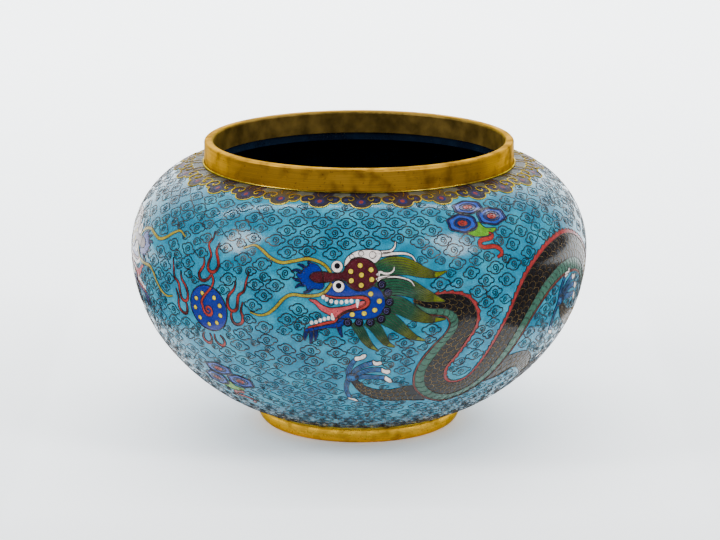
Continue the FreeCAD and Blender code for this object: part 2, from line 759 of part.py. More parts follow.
def cloud_clusters():
    """Three lobes and a base each; the shoulder cluster has a mirrored twin."""
    enamel = []
    wire = []
    tools = []
    for where, (across, up) in CLUSTER_PLACES.items():
        parts = []
        for side, (right, above) in LOBES.items():
            parts.append(inlay(f"cluster_{where}_{side}", lobe_outline(across + right, up + above),
                               covers=[part[2] for part in parts]))
        base = flat(shifted(CLUSTER_BASE, (across, up)))
        parts.append(inlay(f"cluster_{where}_base", base, covers=[part[2] for part in parts]))
        tool = fused(f"cluster_{where}_tool", [part[2] for part in parts])
        enamel += [part[0] for part in parts]
        wire += [part[1] for part in parts]
        tools.append(tool)
        if where == "shoulder":
            enamel += [mirrored(f"{part[0].Name}_twin", part[0]) for part in parts]
            wire += [mirrored(f"{part[1].Name}_twin", part[1]) for part in parts]
            tools.append(mirrored(f"{tool.Name}_twin", tool))
    return [group("cloud_clusters_enamel", enamel), group("cloud_clusters_wire", wire)], tools


cluster_nodes, cluster_tools = cloud_clusters()
drawn_nodes = dragon_nodes + pearl_nodes + cluster_nodes


# ---- The ground that fills what the other cells leave -------------------------------------------

without_lappets = cut("ground_without_lappets", outer_layer, lappets_outer)
without_border = cut("ground_without_border", without_lappets, band_cylinder)
drawn_tools = fused("drawn_tools", dragon_tools + pearl_tools + cluster_tools)
ground_enamel = cut("ground_enamel", without_border, drawn_tools)


# ---- Checks and export --------------------------------------------------------------------------

NODES = [copper_body_upper, copper_body_lower, rim_collar, foot_ring, collar_wire_ring,
         foot_wire_ring, interior_enamel, base_enamel, ground_enamel, border_ground_enamel,
         ruyi_lappets_dark_enamel, ruyi_lappets_olive_enamel, ruyi_border_wire] + drawn_nodes


def check_and_export():
    failed = [item.Name for item in doc.Objects
              if "Invalid" in item.State or "Error" in item.State]
    assert not failed, failed
    for node in NODES:
        assert not node.Shape.isNull() and node.Shape.isValid(), node.Label
        assert node.Shape.Volume > 0, node.Label
    os.makedirs("parts", exist_ok=True)
    for node in NODES:
        node.Shape.exportStep(f"parts/{node.Label}.step")
        print(f"{node.Label}: {len(node.Shape.Solids)} solid(s), {node.Shape.Volume:.1f} mm3")


doc.recompute()
check_and_export()
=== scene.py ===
import math
import random

import bpy
import numpy as np
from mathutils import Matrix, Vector
from mathutils.geometry import delaunay_2d_cdt


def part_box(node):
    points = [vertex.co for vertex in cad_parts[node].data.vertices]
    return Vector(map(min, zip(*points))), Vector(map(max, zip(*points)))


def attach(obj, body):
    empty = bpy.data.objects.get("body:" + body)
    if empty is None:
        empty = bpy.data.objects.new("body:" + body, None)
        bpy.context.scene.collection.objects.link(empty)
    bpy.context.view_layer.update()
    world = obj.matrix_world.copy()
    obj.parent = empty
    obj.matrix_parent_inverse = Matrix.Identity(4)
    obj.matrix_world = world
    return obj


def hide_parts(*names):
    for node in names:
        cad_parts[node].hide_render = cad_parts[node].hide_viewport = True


# A cloisonne vase. Everything drawn on the wall is laid out on the wall's developed surface, in
# millimetres: "across" is the arc length round the belly from the front, positive to the right,
# and "up" is the arc length along the profile from the belly, positive towards the neck. wall()
# turns such places into points of the vase in metres.

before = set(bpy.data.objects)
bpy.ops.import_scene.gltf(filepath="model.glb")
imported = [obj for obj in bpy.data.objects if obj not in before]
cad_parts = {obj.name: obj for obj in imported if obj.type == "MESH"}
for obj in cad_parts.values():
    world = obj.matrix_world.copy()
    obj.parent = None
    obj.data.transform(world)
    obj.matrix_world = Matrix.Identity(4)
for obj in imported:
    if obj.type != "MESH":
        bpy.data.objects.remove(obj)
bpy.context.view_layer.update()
random.seed(11)

MM = 0.001


# ---- The wall -----------------------------------------------------------------------------------

ENAMEL_DEPTH = 1.0
BELLY_RADIUS = round(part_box("copper_body_upper")[1].x / MM) + ENAMEL_DEPTH
BELLY_HEIGHT = 71.2
SHOULDER_ARC, SHOULDER_ANGLE = 35.3, math.radians(60)
LIP_ARC = 22.0
LOWER_ARC, LOWER_ANGLE = 60.2, math.radians(35)
FLANK_ARC = 81.5

SHOULDER_RUN = SHOULDER_ARC * SHOULDER_ANGLE
LOWER_RUN = LOWER_ARC * LOWER_ANGLE
SHOULDER_CENTRE = (BELLY_RADIUS - SHOULDER_ARC, BELLY_HEIGHT)
LIP_CENTRE = (SHOULDER_CENTRE[0] + (SHOULDER_ARC - LIP_ARC) * math.cos(SHOULDER_ANGLE),
              SHOULDER_CENTRE[1] + (SHOULDER_ARC - LIP_ARC) * math.sin(SHOULDER_ANGLE))
LOWER_CENTRE = (BELLY_RADIUS - LOWER_ARC, BELLY_HEIGHT)
FLANK_CENTRE = (LOWER_CENTRE[0] + (LOWER_ARC - FLANK_ARC) * math.cos(LOWER_ANGLE),
                LOWER_CENTRE[1] - (LOWER_ARC - FLANK_ARC) * math.sin(LOWER_ANGLE))

ROUND = 2 * math.pi * BELLY_RADIUS
TOP = SHOULDER_RUN + LIP_ARC * (math.pi / 2 - SHOULDER_ANGLE)
BASE_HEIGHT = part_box("foot_ring")[1].z / MM
BOTTOM = -LOWER_RUN - FLANK_ARC * (math.asin((FLANK_CENTRE[1] - BASE_HEIGHT) / FLANK_ARC)
                                   - LOWER_ANGLE)


def profile(up):
    """Radius, height and the normal's slope angle at places up the wall."""
    up = np.asarray(up, float)
    zones = [up > SHOULDER_RUN, up > 0, up > -LOWER_RUN]
    arc = np.select(zones, [LIP_ARC, SHOULDER_ARC, LOWER_ARC], FLANK_ARC)
    slope = np.select(zones, [SHOULDER_ANGLE + (up - SHOULDER_RUN) / LIP_ARC, up / SHOULDER_ARC,
                              up / LOWER_ARC], -LOWER_ANGLE + (up + LOWER_RUN) / FLANK_ARC)
    centre_radius = np.select(zones, [LIP_CENTRE[0], SHOULDER_CENTRE[0], LOWER_CENTRE[0]],
                              FLANK_CENTRE[0])
    centre_height = np.select(zones, [LIP_CENTRE[1], SHOULDER_CENTRE[1], LOWER_CENTRE[1]],
                              FLANK_CENTRE[1])
    return centre_radius + arc * np.cos(slope), centre_height + arc * np.sin(slope), slope


def wall(places):
    """The wall's points in metres, and its normals, at places (across, up) in millimetres."""
    places = np.asarray(places, float).reshape(-1, 2)
    radius, height, slope = profile(places[:, 1])
    turn = places[:, 0] / BELLY_RADIUS
    points = np.column_stack([radius * np.sin(turn), -radius * np.cos(turn), height]) * MM
    normals = np.column_stack([np.cos(slope) * np.sin(turn), -np.cos(slope) * np.cos(turn),
                               np.sin(slope)])
    return points, normals


def spread(up):
    """How much wider a drawing has to be on the developed surface than it is on the wall."""
    return BELLY_RADIUS / profile(up)[0]


# ---- Lines --------------------------------------------------------------------------------------

def distances(line):
    """How far along a line each of its points is."""
    return np.concatenate([[0], np.cumsum(np.hypot(*np.diff(line, axis=0).T))])


def at_stops(line, distance, stops):
    """The places along a line at the given distances."""
    return np.column_stack([np.interp(stops, distance, column) for column in line.T])


def even(line, step, closed=False):
    """The same line with its points evenly spaced; a closed line leaves out its last point."""
    distance = distances(line)
    count = max(int(round(distance[-1] / step)), 3)
    stops = np.linspace(0, distance[-1], count + 1)
    return at_stops(line, distance, stops[:-1] if closed else stops)


def lengthened(points):
    """The points with one more at either end, which a smooth line needs to start and to end."""
    return np.vstack([2 * points[0] - points[1], points, 2 * points[-1] - points[-2]])


def smoothed(points, parts):
    """A smooth line from the second point to the last but one, with so many parts to a span."""
    share = np.linspace(0, 1, parts + 1)[:-1, None]
    spans = [0.5 * (2 * b + (c - a) * share + (2 * a - 5 * b + 4 * c - d) * share ** 2
                    + (3 * b - a - 3 * c + d) * share ** 3)
             for a, b, c, d in zip(points, points[1:], points[2:], points[3:])]
    return np.vstack(spans + [points[-2][None]])


def curve(points, step=0.5, closed=False):
    """A smooth line through a few points, as points about a step apart."""
    points = np.asarray(points, float)
    padded = np.vstack([points[-1], points, points[:2]]) if closed else lengthened(points)
    return even(smoothed(padded, 12), step, closed)


def between(left, right, share):
    return left * (1 - share) + right * share


def ring(centre, radius, count=20, squash=1.0):
    turn = np.linspace(0, 2 * math.pi, count, endpoint=False)
    return np.column_stack([centre[0] + radius * np.cos(turn),
                            centre[1] + radius * squash * np.sin(turn)])


def band_edges(centre, half_widths, step=0.6):
    """The two edges of a band along a line, whose half width runs through the given values."""
    middle = curve(centre, step)
    along = np.gradient(middle, axis=0)
    along /= np.linalg.norm(along, axis=1)[:, None]
    side = np.column_stack([-along[:, 1], along[:, 0]])
    stops = np.linspace(0, 1, len(middle))
    width = np.interp(stops, np.linspace(0, 1, len(half_widths)), half_widths)[:, None]
    return middle + side * width, middle - side * width


# ---- Meshes -------------------------------------------------------------------------------------

SUNK = -0.15
GRAIN = 1.6
SHARP = math.radians(50)


def added(name, data):
    """A new object in the scene."""
    thing = bpy.data.objects.new(name, data)
    bpy.context.scene.collection.objects.link(thing)
    return thing


class Piece:
    """Collects closed solids that lie on the wall, for one mesh with one material."""

    def __init__(self, name):
        self.name = name
        self.points = []
        self.colours = []
        self.faces = []
        self.normals = []
        self.count = 0

    def add(self, points, colours, faces, normals):
        self.points.append(points)
        self.colours.append(colours)
        self.faces += [tuple(corner + self.count for corner in face) for face in faces]
        self.normals += normals
        self.count += len(points)

    def build(self, material, slot, replaced=()):
        mesh = bpy.data.meshes.new(self.name)
        points = np.vstack(self.points)
        mesh.from_pydata(points.tolist(), [], self.faces)
        shade = mesh.color_attributes.new("enamel", "FLOAT_COLOR", "POINT")
        colours = np.vstack(self.colours)
        shade.data.foreach_set("color", np.column_stack([colours, np.ones(len(colours))]).ravel())
        mesh.polygons.foreach_set("use_smooth", [True] * len(mesh.polygons))
        if any(normal is not None for normal in self.normals):
            mesh.normals_split_custom_set(self.loop_normals())
        else:
            mesh.set_sharp_from_angle(angle=SHARP)
        mesh.materials.append(material)
        piece = added(self.name, mesh)
        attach(piece, "root")
        if replaced:
            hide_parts(*replaced)

    def loop_normals(self):
        loops = []
        for face, normal in zip(self.faces, self.normals):
            loops += [(0, 0, 0)] * len(face) if normal is None else normal
        return loops

    def surface(self, places, faces, colour, lift, floor=SUNK):
        """A thin closed cell of enamel over a patch of the wall that is given as flat faces."""
        points, normals = wall(places)
        count = len(points)
        edges = {(a, b) for face in faces for a, b in zip(face, face[1:] + face[:1])}
        rim = [(a, b) for a, b in edges if (b, a) not in edges]
        top = [tuple(face) for face in faces]
        bottom = [tuple(corner + count for corner in reversed(face)) for face in faces]
        sides = [(a, a + count, b + count, b) for a, b in rim]
        smooth = [[tuple(normals[corner]) for corner in face] for face in top]
        colour = np.broadcast_to(np.asarray(colour, float), (count, 3))
        self.add(np.vstack([points + normals * lift * MM, points + normals * floor * MM]),
                 np.vstack([colour, colour]), top + bottom + sides,
                 smooth + [None] * (len(bottom) + len(sides)))

    def cell(self, outline, colour, lift):
        """A cell of enamel that fills an outline; colour may be a function of the place."""
        outline = np.asarray(outline, float)
        following = np.roll(outline, -1, axis=0)
        if np.sum(outline[:, 0] * following[:, 1] - following[:, 0] * outline[:, 1]) < 0:
            outline = outline[::-1]
        low, high = outline.min(0), outline.max(0)
        across, up = np.meshgrid(np.arange(low[0] + GRAIN / 2, high[0], GRAIN),
                                 np.arange(low[1] + GRAIN / 2, high[1], GRAIN))
        inner = np.column_stack([across.ravel(), up.ravel()])
        inner = inner[inside(inner, outline, GRAIN * 0.35)]
        vertices = [Vector(place) for place in np.vstack([outline, inner])]
        found = delaunay_2d_cdt(vertices, [], [list(range(len(outline)))], 1, 1e-5)
        places = np.array([tuple(vertex) for vertex in found[0]])
        faces = [tuple(face) for face in found[2]]
        self.surface(places, faces, colour(places) if callable(colour) else colour, lift)

    def strip(self, left, right, colour, lift, rows=4):
        """A cell between two edges with as many points each; colour may be a function."""
        count = len(left)
        share = np.linspace(0, 1, rows + 1)[:, None, None]
        places = between(left[None], right[None], share).reshape(-1, 2)
        faces = []
        for row in range(rows):
            for column in range(count - 1):
                start = row * count + column
                faces.append((start, start + count, start + count + 1, start + 1))
        a, b, c = places[faces[0][0]], places[faces[0][1]], places[faces[0][2]]
        if (b[0] - a[0]) * (c[1] - a[1]) - (b[1] - a[1]) * (c[0] - a[0]) < 0:
            faces = [face[::-1] for face in faces]
        self.surface(places, faces, colour(places) if callable(colour) else colour, lift)

    def wire(self, line, width, top, closed=False, colour=(1, 1, 1)):
        """A metal wire along a line of places, standing a little proud of the enamel."""
        line = np.asarray(line, float)
        points, normals = wall(line)
        if closed:
            along = np.roll(points, -1, axis=0) - np.roll(points, 1, axis=0)
        else:
            along = np.gradient(points, axis=0)
        along /= np.linalg.norm(along, axis=1)[:, None] + 1e-12
        side = np.cross(normals, along)
        width = np.broadcast_to(np.asarray(width, float), len(line))[:, None]
        section = [(-0.5, SUNK), (-0.42, top), (0.42, top), (0.5, SUNK)]
        sheets = [points + side * width * across * MM + normals * lift * MM
                  for across, lift in section]
        size = len(section)
        vertices = np.stack(sheets, axis=1).reshape(-1, 3)
        faces = []
        for start in range(len(line) - (0 if closed else 1)):
            here, there = start * size, (start + 1) % len(line) * size
            for edge in range(size):
                other = (edge + 1) % size
                faces.append((here + edge, there + edge, there + other, here + other))
        if not closed:
            faces.append(tuple(range(size)))
            faces.append(tuple(reversed(range(len(vertices) - size, len(vertices)))))
        self.add(vertices, np.broadcast_to(np.asarray(colour, float), (len(vertices), 3)), faces,
                 [None] * len(faces))


def inside(places, outline, margin=0.0):
    """Which places lie inside an outline and at least a margin away from it."""
    result = np.zeros(len(places), bool)
    nearest = np.full(len(places), np.inf)
    x, y = places[:, 0], places[:, 1]
    for a, b in zip(outline, np.roll(outline, -1, axis=0)):
        crossing = (a[1] > y) != (b[1] > y)
        height = b[1] - a[1]
        at = (b[0] - a[0]) * (y - a[1]) / (height if height else 1e-9) + a[0]
        result ^= crossing & (x < at)
        if margin:
            run = b - a
            share = np.clip(((places - a) @ run) / (run @ run + 1e-12), 0, 1)
            nearest = np.minimum(nearest, np.hypot(*(places - a - share[:, None] * run).T))
    return result & (nearest > margin) if margin else result


# ---- Materials ----------------------------------------------------------------------------------

def shade(red, green, blue):
    """A linear colour from screen values."""
    channels = [value / 255 for value in (red, green, blue)]
    return tuple(value / 12.92 if value <= 0.04045 else ((value + 0.055) / 1.055) ** 2.4
                 for value in channels)


class Graph:
    """A material's nodes, with the object's own coordinates to place its patterns."""

    def __init__(self, name):
        self.material = bpy.data.materials.new(name)
        self.material.use_nodes = True
        self.nodes = self.material.node_tree.nodes
        self.links = self.material.node_tree.links
        self.shader = self.nodes["Principled BSDF"]
        self.place = self.nodes.new("ShaderNodeTexCoord").outputs["Object"]

    def node(self, kind, inputs, **settings):
        node = self.nodes.new(kind)
        for name, value in settings.items():
            setattr(node, name, value)
        for name, value in inputs.items():
            self.feed(node.inputs[name], value)
        return node

    def feed(self, socket, value):
        if isinstance(value, bpy.types.NodeSocket):
            self.links.new(value, socket)
        else:
            socket.default_value = value

    def look(self, values):
        """Feeds the shader's sockets by their names, and returns the material."""
        for name, value in values.items():
            self.feed(self.shader.inputs[name], value)
        return self.material

    def stretched(self, across, up):
        """Coordinates for a pattern that is drawn out round the axis."""
        return self.node("ShaderNodeMapping", {"Vector": self.place,
                                               "Scale": (across, across, up)}).outputs[0]

    def noise(self, scale, detail=2.0, place=None):
        inputs = {"Vector": place or self.place, "Scale": scale, "Detail": detail}
        return self.node("ShaderNodeTexNoise", inputs).outputs["Fac"]

    def ramp(self, value, *stops):
        """Turns a number into a grey or a colour; each stop is a position and its colour."""
        node = self.node("ShaderNodeValToRGB", {"Fac": value})
        elements = node.color_ramp.elements
        while len(elements) < len(stops):
            elements.new(0.5)
        for element, (position, colour) in zip(elements, stops):
            colour = colour if isinstance(colour, tuple) else (colour,) * 3
            element.position = position
            element.color = (*colour, 1)
        return node.outputs["Color"]

    def mixed(self, share, first, second, way="MIX"):
        node = self.nodes.new("ShaderNodeMix")
        node.data_type = "RGBA"
        node.blend_type = way
        for socket, value in zip([node.inputs[0], node.inputs[6], node.inputs[7]],
                                 [share, first, second]):
            if isinstance(value, tuple):
                value = (*value, 1)
            self.feed(socket, value)
        return node.outputs[2]

    def bumps(self, *layers):
        """Bumps laid over each other; each layer is a height, its strength and its depth in mm."""
        normal = None
        for height, strength, depth in layers:
            inputs = {"Height": height, "Strength": strength, "Distance": depth * MM}
            if normal:
                inputs["Normal"] = normal
            normal = self.node("ShaderNodeBump", inputs).outputs[0]
        self.look({"Normal": normal})


def enamel(name, colour=None, rough=(0.12, 0.22), mottle=(0.53, 0.78), grit=0.86, gleam=0.3):
    """Fused glass, ground and polished: mottled, gently uneven and pricked with pits."""
    graph = Graph(name)
    if colour is None:
        base = graph.node("ShaderNodeAttribute", {}, attribute_name="enamel").outputs["Color"]
    else:
        base = graph.ramp(graph.noise(95.0, 4.0), *colour)
    clouds = graph.noise(260.0, 3.0)
    base = graph.mixed(1.0, base, graph.ramp(clouds, (0.3, mottle[0]), (0.7, mottle[1])),
                       "MULTIPLY")
    grains = graph.ramp(graph.noise(2300.0, 2.0), (0.3, grit), (0.62, 2.0 - grit))
    base = graph.mixed(1.0, base, grains, "MULTIPLY")
    pits = graph.ramp(graph.noise(1500.0, 1.0), (0.70, 0.0), (0.76, 1.0))
    base = graph.mixed(pits, base, shade(40, 45, 50))
    gloss = graph.ramp(clouds, (0.3, rough[0]), (0.75, rough[1]))
    graph.bumps((graph.noise(330.0, 2.0), 0.32, 0.10), (pits, -0.5, 0.08))
    return graph.look({"Base Color": base, "Roughness": gloss, "IOR": 1.46,
                       "Specular IOR Level": gleam})


MOUTH_RADIUS = (0.0577, 0.0583)
RADIUS_SCALE = 10


def gilt(name, bright, worn, wear=(0.52, 0.68), rough=(0.26, 0.46), turned=True, dull=None):
    """Gilt metal, turned on a lathe, with the gilding worn brown in spots.

    If a dull colour is given, the metal within the mouth's radius is matt and of that colour."""
    graph = Graph(name)
    spots = graph.noise(150.0, 5.0)
    fine = graph.noise(900.0, 3.0)
    lines = graph.noise(1.0, 3.0, graph.stretched(60.0, 2600.0)) if turned else fine
    patina = graph.ramp(spots, (wear[0], 0.0), (wear[1], 1.0))
    base = graph.mixed(patina, bright, worn)
    base = graph.mixed(1.0, base, graph.ramp(lines, (0.3, 0.78), (0.7, 1.10)), "MULTIPLY")
    base = graph.mixed(graph.ramp(fine, (0.64, 0.0), (0.72, 0.75)), base, worn)
    gloss = graph.ramp(spots, (0.35, rough[0]), (0.70, rough[1]))
    if dull:
        flat = graph.stretched(RADIUS_SCALE, 0)
        radius = graph.node("ShaderNodeVectorMath", {0: flat}, operation="LENGTH")
        within = graph.ramp(radius.outputs["Value"], (MOUTH_RADIUS[0] * RADIUS_SCALE, 1.0),
                            (MOUTH_RADIUS[1] * RADIUS_SCALE, 0.0))
        old = graph.mixed(1.0, dull, graph.ramp(spots, (0.3, 0.45), (0.7, 1.35)), "MULTIPLY")
        base = graph.mixed(within, base, old)
        gloss = graph.mixed(within, gloss, (0.62, 0.62, 0.62))
    graph.bumps((spots, 0.35, 0.25), (lines, 0.22, 0.03), (fine, 0.15, 0.03))
    return graph.look({"Base Color": base, "Metallic": 1.0, "Roughness": gloss,
                       "Specular Tint": (0.5, 0.45, 0.32, 1)})


def bronze(name, colour, bright):
    """The edge of a wire: dull and dark, polished brighter here and there."""
    graph = Graph(name)
    worn = graph.noise(420.0, 3.0)
    return graph.look({"Base Color": graph.ramp(worn, (0.45, colour), (0.75, bright)),
                       "Metallic": 0.8,
                       "Roughness": graph.ramp(worn, (0.4, 0.5), (0.75, 0.3))})


TURQUOISE = ((0.36, shade(8, 112, 142)), (0.50, shade(16, 127, 157)),
             (0.66, shade(38, 143, 168)))
turquoise = enamel("turquoise_enamel", TURQUOISE)
lappet = enamel("lappet_enamel", rough=(0.42, 0.55), mottle=(0.34, 0.62), gleam=0.1)
coloured = enamel("coloured_enamel", mottle=(0.56, 0.88), grit=0.72)
navy = enamel("navy_enamel", ((0.35, shade(12, 22, 38)), (0.65, shade(18, 32, 50))),
              rough=(0.14, 0.24))
brass = gilt("gilt_brass", shade(186, 138, 40), shade(96, 66, 20), (0.48, 0.80), (0.42, 0.60),
             dull=shade(132, 108, 52))
# The foot gets its own brighter copy of the collar's gilt: this is painted light, standing in for
# light that the low foot does not catch.
foot_brass_with_painted_light = gilt("foot_brass_with_painted_light", shade(236, 178, 40), shade(130, 84, 20), (0.5, 0.82), (0.2, 0.36))
gilt_wire = gilt("gilt_wire", shade(186, 160, 52), shade(92, 72, 32), turned=False)
copper = gilt("copper", shade(200, 120, 85), shade(90, 50, 40))
dark_wire = bronze("cloison_wire", shade(34, 31, 33), shade(84, 74, 64))
scale_wire = bronze("scale_wire", shade(106, 84, 46), shade(150, 122, 70))


# ---- Drawing ------------------------------------------------------------------------------------

PEARL = (-62.3, -9.0)

# How far things stand above the ground enamel, in millimetres.
CELL = 0.05
LAYER = 0.02
CLOUD_TOP = 0.11
SCALE_TOP = 0.12
COMB_TOP = 0.13
WIRE_TOP = 0.17
TOOTH_TOP = 0.19
CURL_TOP = 0.2

# The lines that comb a lock: how far they run along it, and their width.
COMBED = 0.85
COMB_WIRE = 0.3

pieces = {}
taken = []


def piece(name):
    return pieces.setdefault(name, Piece(name))


def seen_runs(line, outlines):
    """The stretches of a line that lie outside all the outlines."""
    line = np.asarray(line, float)
    hidden = np.zeros(len(line), bool)
    for outline in outlines:
        hidden |= inside(line, outline)
    runs = []
    for place, gone in zip(line, hidden):
        if gone:
            runs.append([])
        elif runs:
            runs[-1].append(place)
        else:
            runs = [[place]]
    return [np.array(run) for run in runs if len(run) > 2]


class Pen:
    """Draws on the wall, as it is or turned over about the pearl."""

    def __init__(self, subject, mirrored=False):
        self.subject = subject
        self.mirrored = mirrored

    def at(self, places):
        places = np.array(places, float)
        if self.mirrored:
            places[:, 0] = 2 * PEARL[0] - places[:, 0]
        return places

    def part(self, name):
        return piece(f"{self.subject}_{name}")

    def paint(self, colour):
        if callable(colour):
            return lambda places: colour(self.at(places))
        return colour

    def cell(self, name, outline, colour, layer=0, edge=0.42, keep=False, lift=None):
        outline = self.at(outline)
        self.part(name).cell(outline, self.paint(colour), lift or CELL + layer * LAYER)
        if edge:
            self.part("wires").wire(outline, edge, WIRE_TOP, closed=True)
        if keep:
            taken.append(outline)

    def shape(self, name, points, colour, step=0.5, **settings):
        """A cell with a smooth outline through a few points."""
        self.cell(name, curve(points, step, closed=True), colour, **settings)

    def strip(self, name, left, right, colour, layer=0, rows=4):
        self.part(name).strip(self.at(left), self.at(right), self.paint(colour),
                              CELL + layer * LAYER, rows)

    def wire(self, line, width=0.4, closed=False, name="wires", top=WIRE_TOP, behind=()):
        """A wire; what lies behind the given outlines is left out."""
        for run in seen_runs(line, behind) if behind else [line]:
            self.part(name).wire(self.at(run), width, top, closed)

    def lock(self, name, centre, half_widths, colour, layer=0, edge=0.4, lines=0, behind=()):
        """A tapering band with an outline, and thin lines along it if it is combed."""
        left, right = band_edges(centre, half_widths)
        self.strip(name, left, right, colour, layer)
        self.wire(left, edge, behind=behind)
        self.wire(right, edge, behind=behind)
        for number in range(1, lines + 1):
            line = between(left, right, number / (lines + 1))
            self.wire(line[:int(len(line) * COMBED)], COMB_WIRE, top=COMB_TOP, behind=behind)
        taken.append(self.at(np.vstack([left, right[::-1]])))


BLACK = shade(16, 14, 20)
CURL_BLUE = shade(70, 60, 110)
MAROON = shade(66, 20, 28)
BLUE = shade(8, 32, 118)
DEEP_BLUE = shade(14, 28, 80)
LOBE_BLUE = shade(24, 66, 158)
TOE_BLUE = shade(16, 84, 140)
YELLOW = shade(204, 178, 30)
WHITE = shade(226, 214, 208)
RED = shade(150, 42, 38)
PINK = shade(172, 66, 72)
DARK_GREEN = shade(28, 74, 52)
YELLOW_GREEN = shade(88, 96, 16)
BELLY_GREEN = shade(50, 88, 72)
SCALE_BROWN = shade(14, 10, 12)
FIN_RED = shade(136, 40, 40)
EDGE_RED = shade(112, 50, 42)
OLIVE = shade(142, 126, 36)
LEAF_GREEN = shade(84, 140, 30)
SAGE = shade(88, 88, 74)


# ---- The dragons' bodies ------------------------------------------------------------------------

# Places across the body, each a place on the finned edge and the one opposite it on the belly.
BODY = [((20, -1), (20.5, -2.4)), ((26, 0.6), (25.5, -6.9)), ((34, 1.3), (32.5, -8.6)),
        ((42, -0.8), (34.6, -11)),
        ((46.8, -6.5), (34.5, -13)), ((47.5, -13), (33, -15.8)), ((44.5, -19.5), (29.5, -19.5)),
        ((40.8, -26.3), (25.6, -25)), ((38, -31.5), (23.3, -31)), ((38.3, -36), (23.2, -37)),
        ((40.5, -39), (25.5, -43.3)), ((43.5, -40.2), (33, -50.3)), ((47, -39.8), (44, -54)),
        ((50, -37.6), (55, -50.3)), ((52, -33), (63, -42.5)), ((54.5, -26.5), (67.5, -33)),
        ((57.5, -18.5), (71.5, -24)), ((61, -10.5), (75.5, -16)), ((64.5, -2.5), (80.5, -10)),
        ((70, 4.8), (86, -5.6)), ((80, 11), (92.5, -3)), ((90, 14), (98, -2.2)),
        ((101, 14.8), (105, -2.6)), ((112, 11.5), (112, -5)), ((122, 4.5), (118.5, -10.5)),
        ((130, -4), (123.5, -17.5)), ((137, -14), (128, -27)), ((143, -24.5), (134.5, -37)),
        ((149, -30.5), (143.5, -44.5)), ((156, -32), (154.5, -47.5)), ((162, -28), (165, -44)),
        ((167, -19.5), (173, -34.5)), ((173, -8.5), (179, -23)), ((180, -0.5), (185, -13)),
        ((189, 3.6), (190.5, -7.8)), ((198, 1.8), (197, -6)), ((206, -4), (206, -5.2))]
FIN, SCALES, BELLY = 0.09, 0.66, 0.94
BAR_BEND = 0.79
STATION = 0.5
FIN_TOOTH, FIN_DEPTH = 2.5, 0.9
BAR_PITCH = 3.0


def matched_curves(pairs, step):
    """Smooth lines through the pairs' first and second places, with points that stay opposite."""
    both = np.array([left + right for left, right in pairs], float)
    line = smoothed(lengthened(both), 24)
    distance = distances((line[:, :2] + line[:, 2:]) / 2)
    stops = np.linspace(0, distance[-1], int(distance[-1] / step) + 1)
    evened = at_stops(line, distance, stops)
    return evened[:, :2], evened[:, 2:]


def scale_arcs(pen, left, right, first, last, behind, pitch=2.8, rows=3):
    """Rows of overlapping scales between two shares of a band, drawn with thin wires."""
    distance = distances((left + right) / 2)
    row_width = (last - first) / rows
    for row in range(rows):
        start = pitch * (0.5 if row % 2 else 0)
        for along in np.arange(start, distance[-1] - pitch, pitch):
            turn = np.linspace(-math.pi / 2, math.pi / 2, 7)
            shares = first + row_width * (row + 0.5 + 0.5 * np.sin(turn))
            stops = along + pitch * 0.62 * np.cos(turn)
            places = between(at_stops(left, distance, stops), at_stops(right, distance, stops),
                             shares[:, None])
            if not any(inside(places, outline).any() for outline in behind):
                pen.wire(places, 0.17, name="scales", top=SCALE_TOP)


def dragon_body(pen, mane):
    fin, belly = matched_curves(BODY, STATION)
    saw = FIN_DEPTH * (np.arange(len(fin)) * STATION % FIN_TOOTH / FIN_TOOTH) ** 1.5
    away = (fin - belly) / np.linalg.norm(fin - belly, axis=1)[:, None]
    outer = fin + away * saw[:, None]
    outline = np.vstack([outer, belly[::-1]])
    root, seam, hem = (between(fin, belly, share) for share in (FIN, SCALES, BELLY))
    pen.strip("body", outer, root, FIN_RED, rows=2)
    pen.strip("body", root, seam, SCALE_BROWN, rows=5)
    pen.strip("body", seam, hem, BELLY_GREEN, rows=3)
    pen.strip("body", hem, belly, EDGE_RED, rows=1)
    scale_arcs(pen, fin, belly, FIN, SCALES, mane)
    for line, width in ((root, 0.26), (seam, 0.3), (hem, 0.26), (outer, 0.34), (belly, 0.34)):
        pen.wire(line, width, behind=mane)
    bar = int(BAR_PITCH / STATION)
    middle = between(fin, belly, BAR_BEND)
    for station in range(3 * bar, len(fin) - bar, bar):
        bend = [seam[station], middle[station + 2], hem[station]]
        pen.wire(curve(bend, 0.8), 0.22, top=COMB_TOP, behind=mane)
    taken.append(pen.at(outline))
    return outline


LEGS = [([(33, -45.5), (24, -45.3), (15, -46), (8, -45), (2.2, -42), (-1, -38.2), (-2.2, -36.4)],
         [6, 5.6, 4.6, 3.8, 2.9, 2.2, 1.4]),
        ([(60, -38.5), (67, -37.5), (74, -35.5), (81, -36), (88, -40.4), (94.5, -46.5),
          (97, -50)], [6.2, 6, 4.6, 4.2, 3.6, 2.6, 1.6]),
        ([(131, -22), (121, -24.4), (110, -22.3), (102, -19), (97.6, -15.2), (96, -13)],
         [5, 4.4, 3.8, 3.1, 2.2, 1.4])]
PAW_SHIFTS = [(0, 0), (98.5, -14), (98, 22.5)]

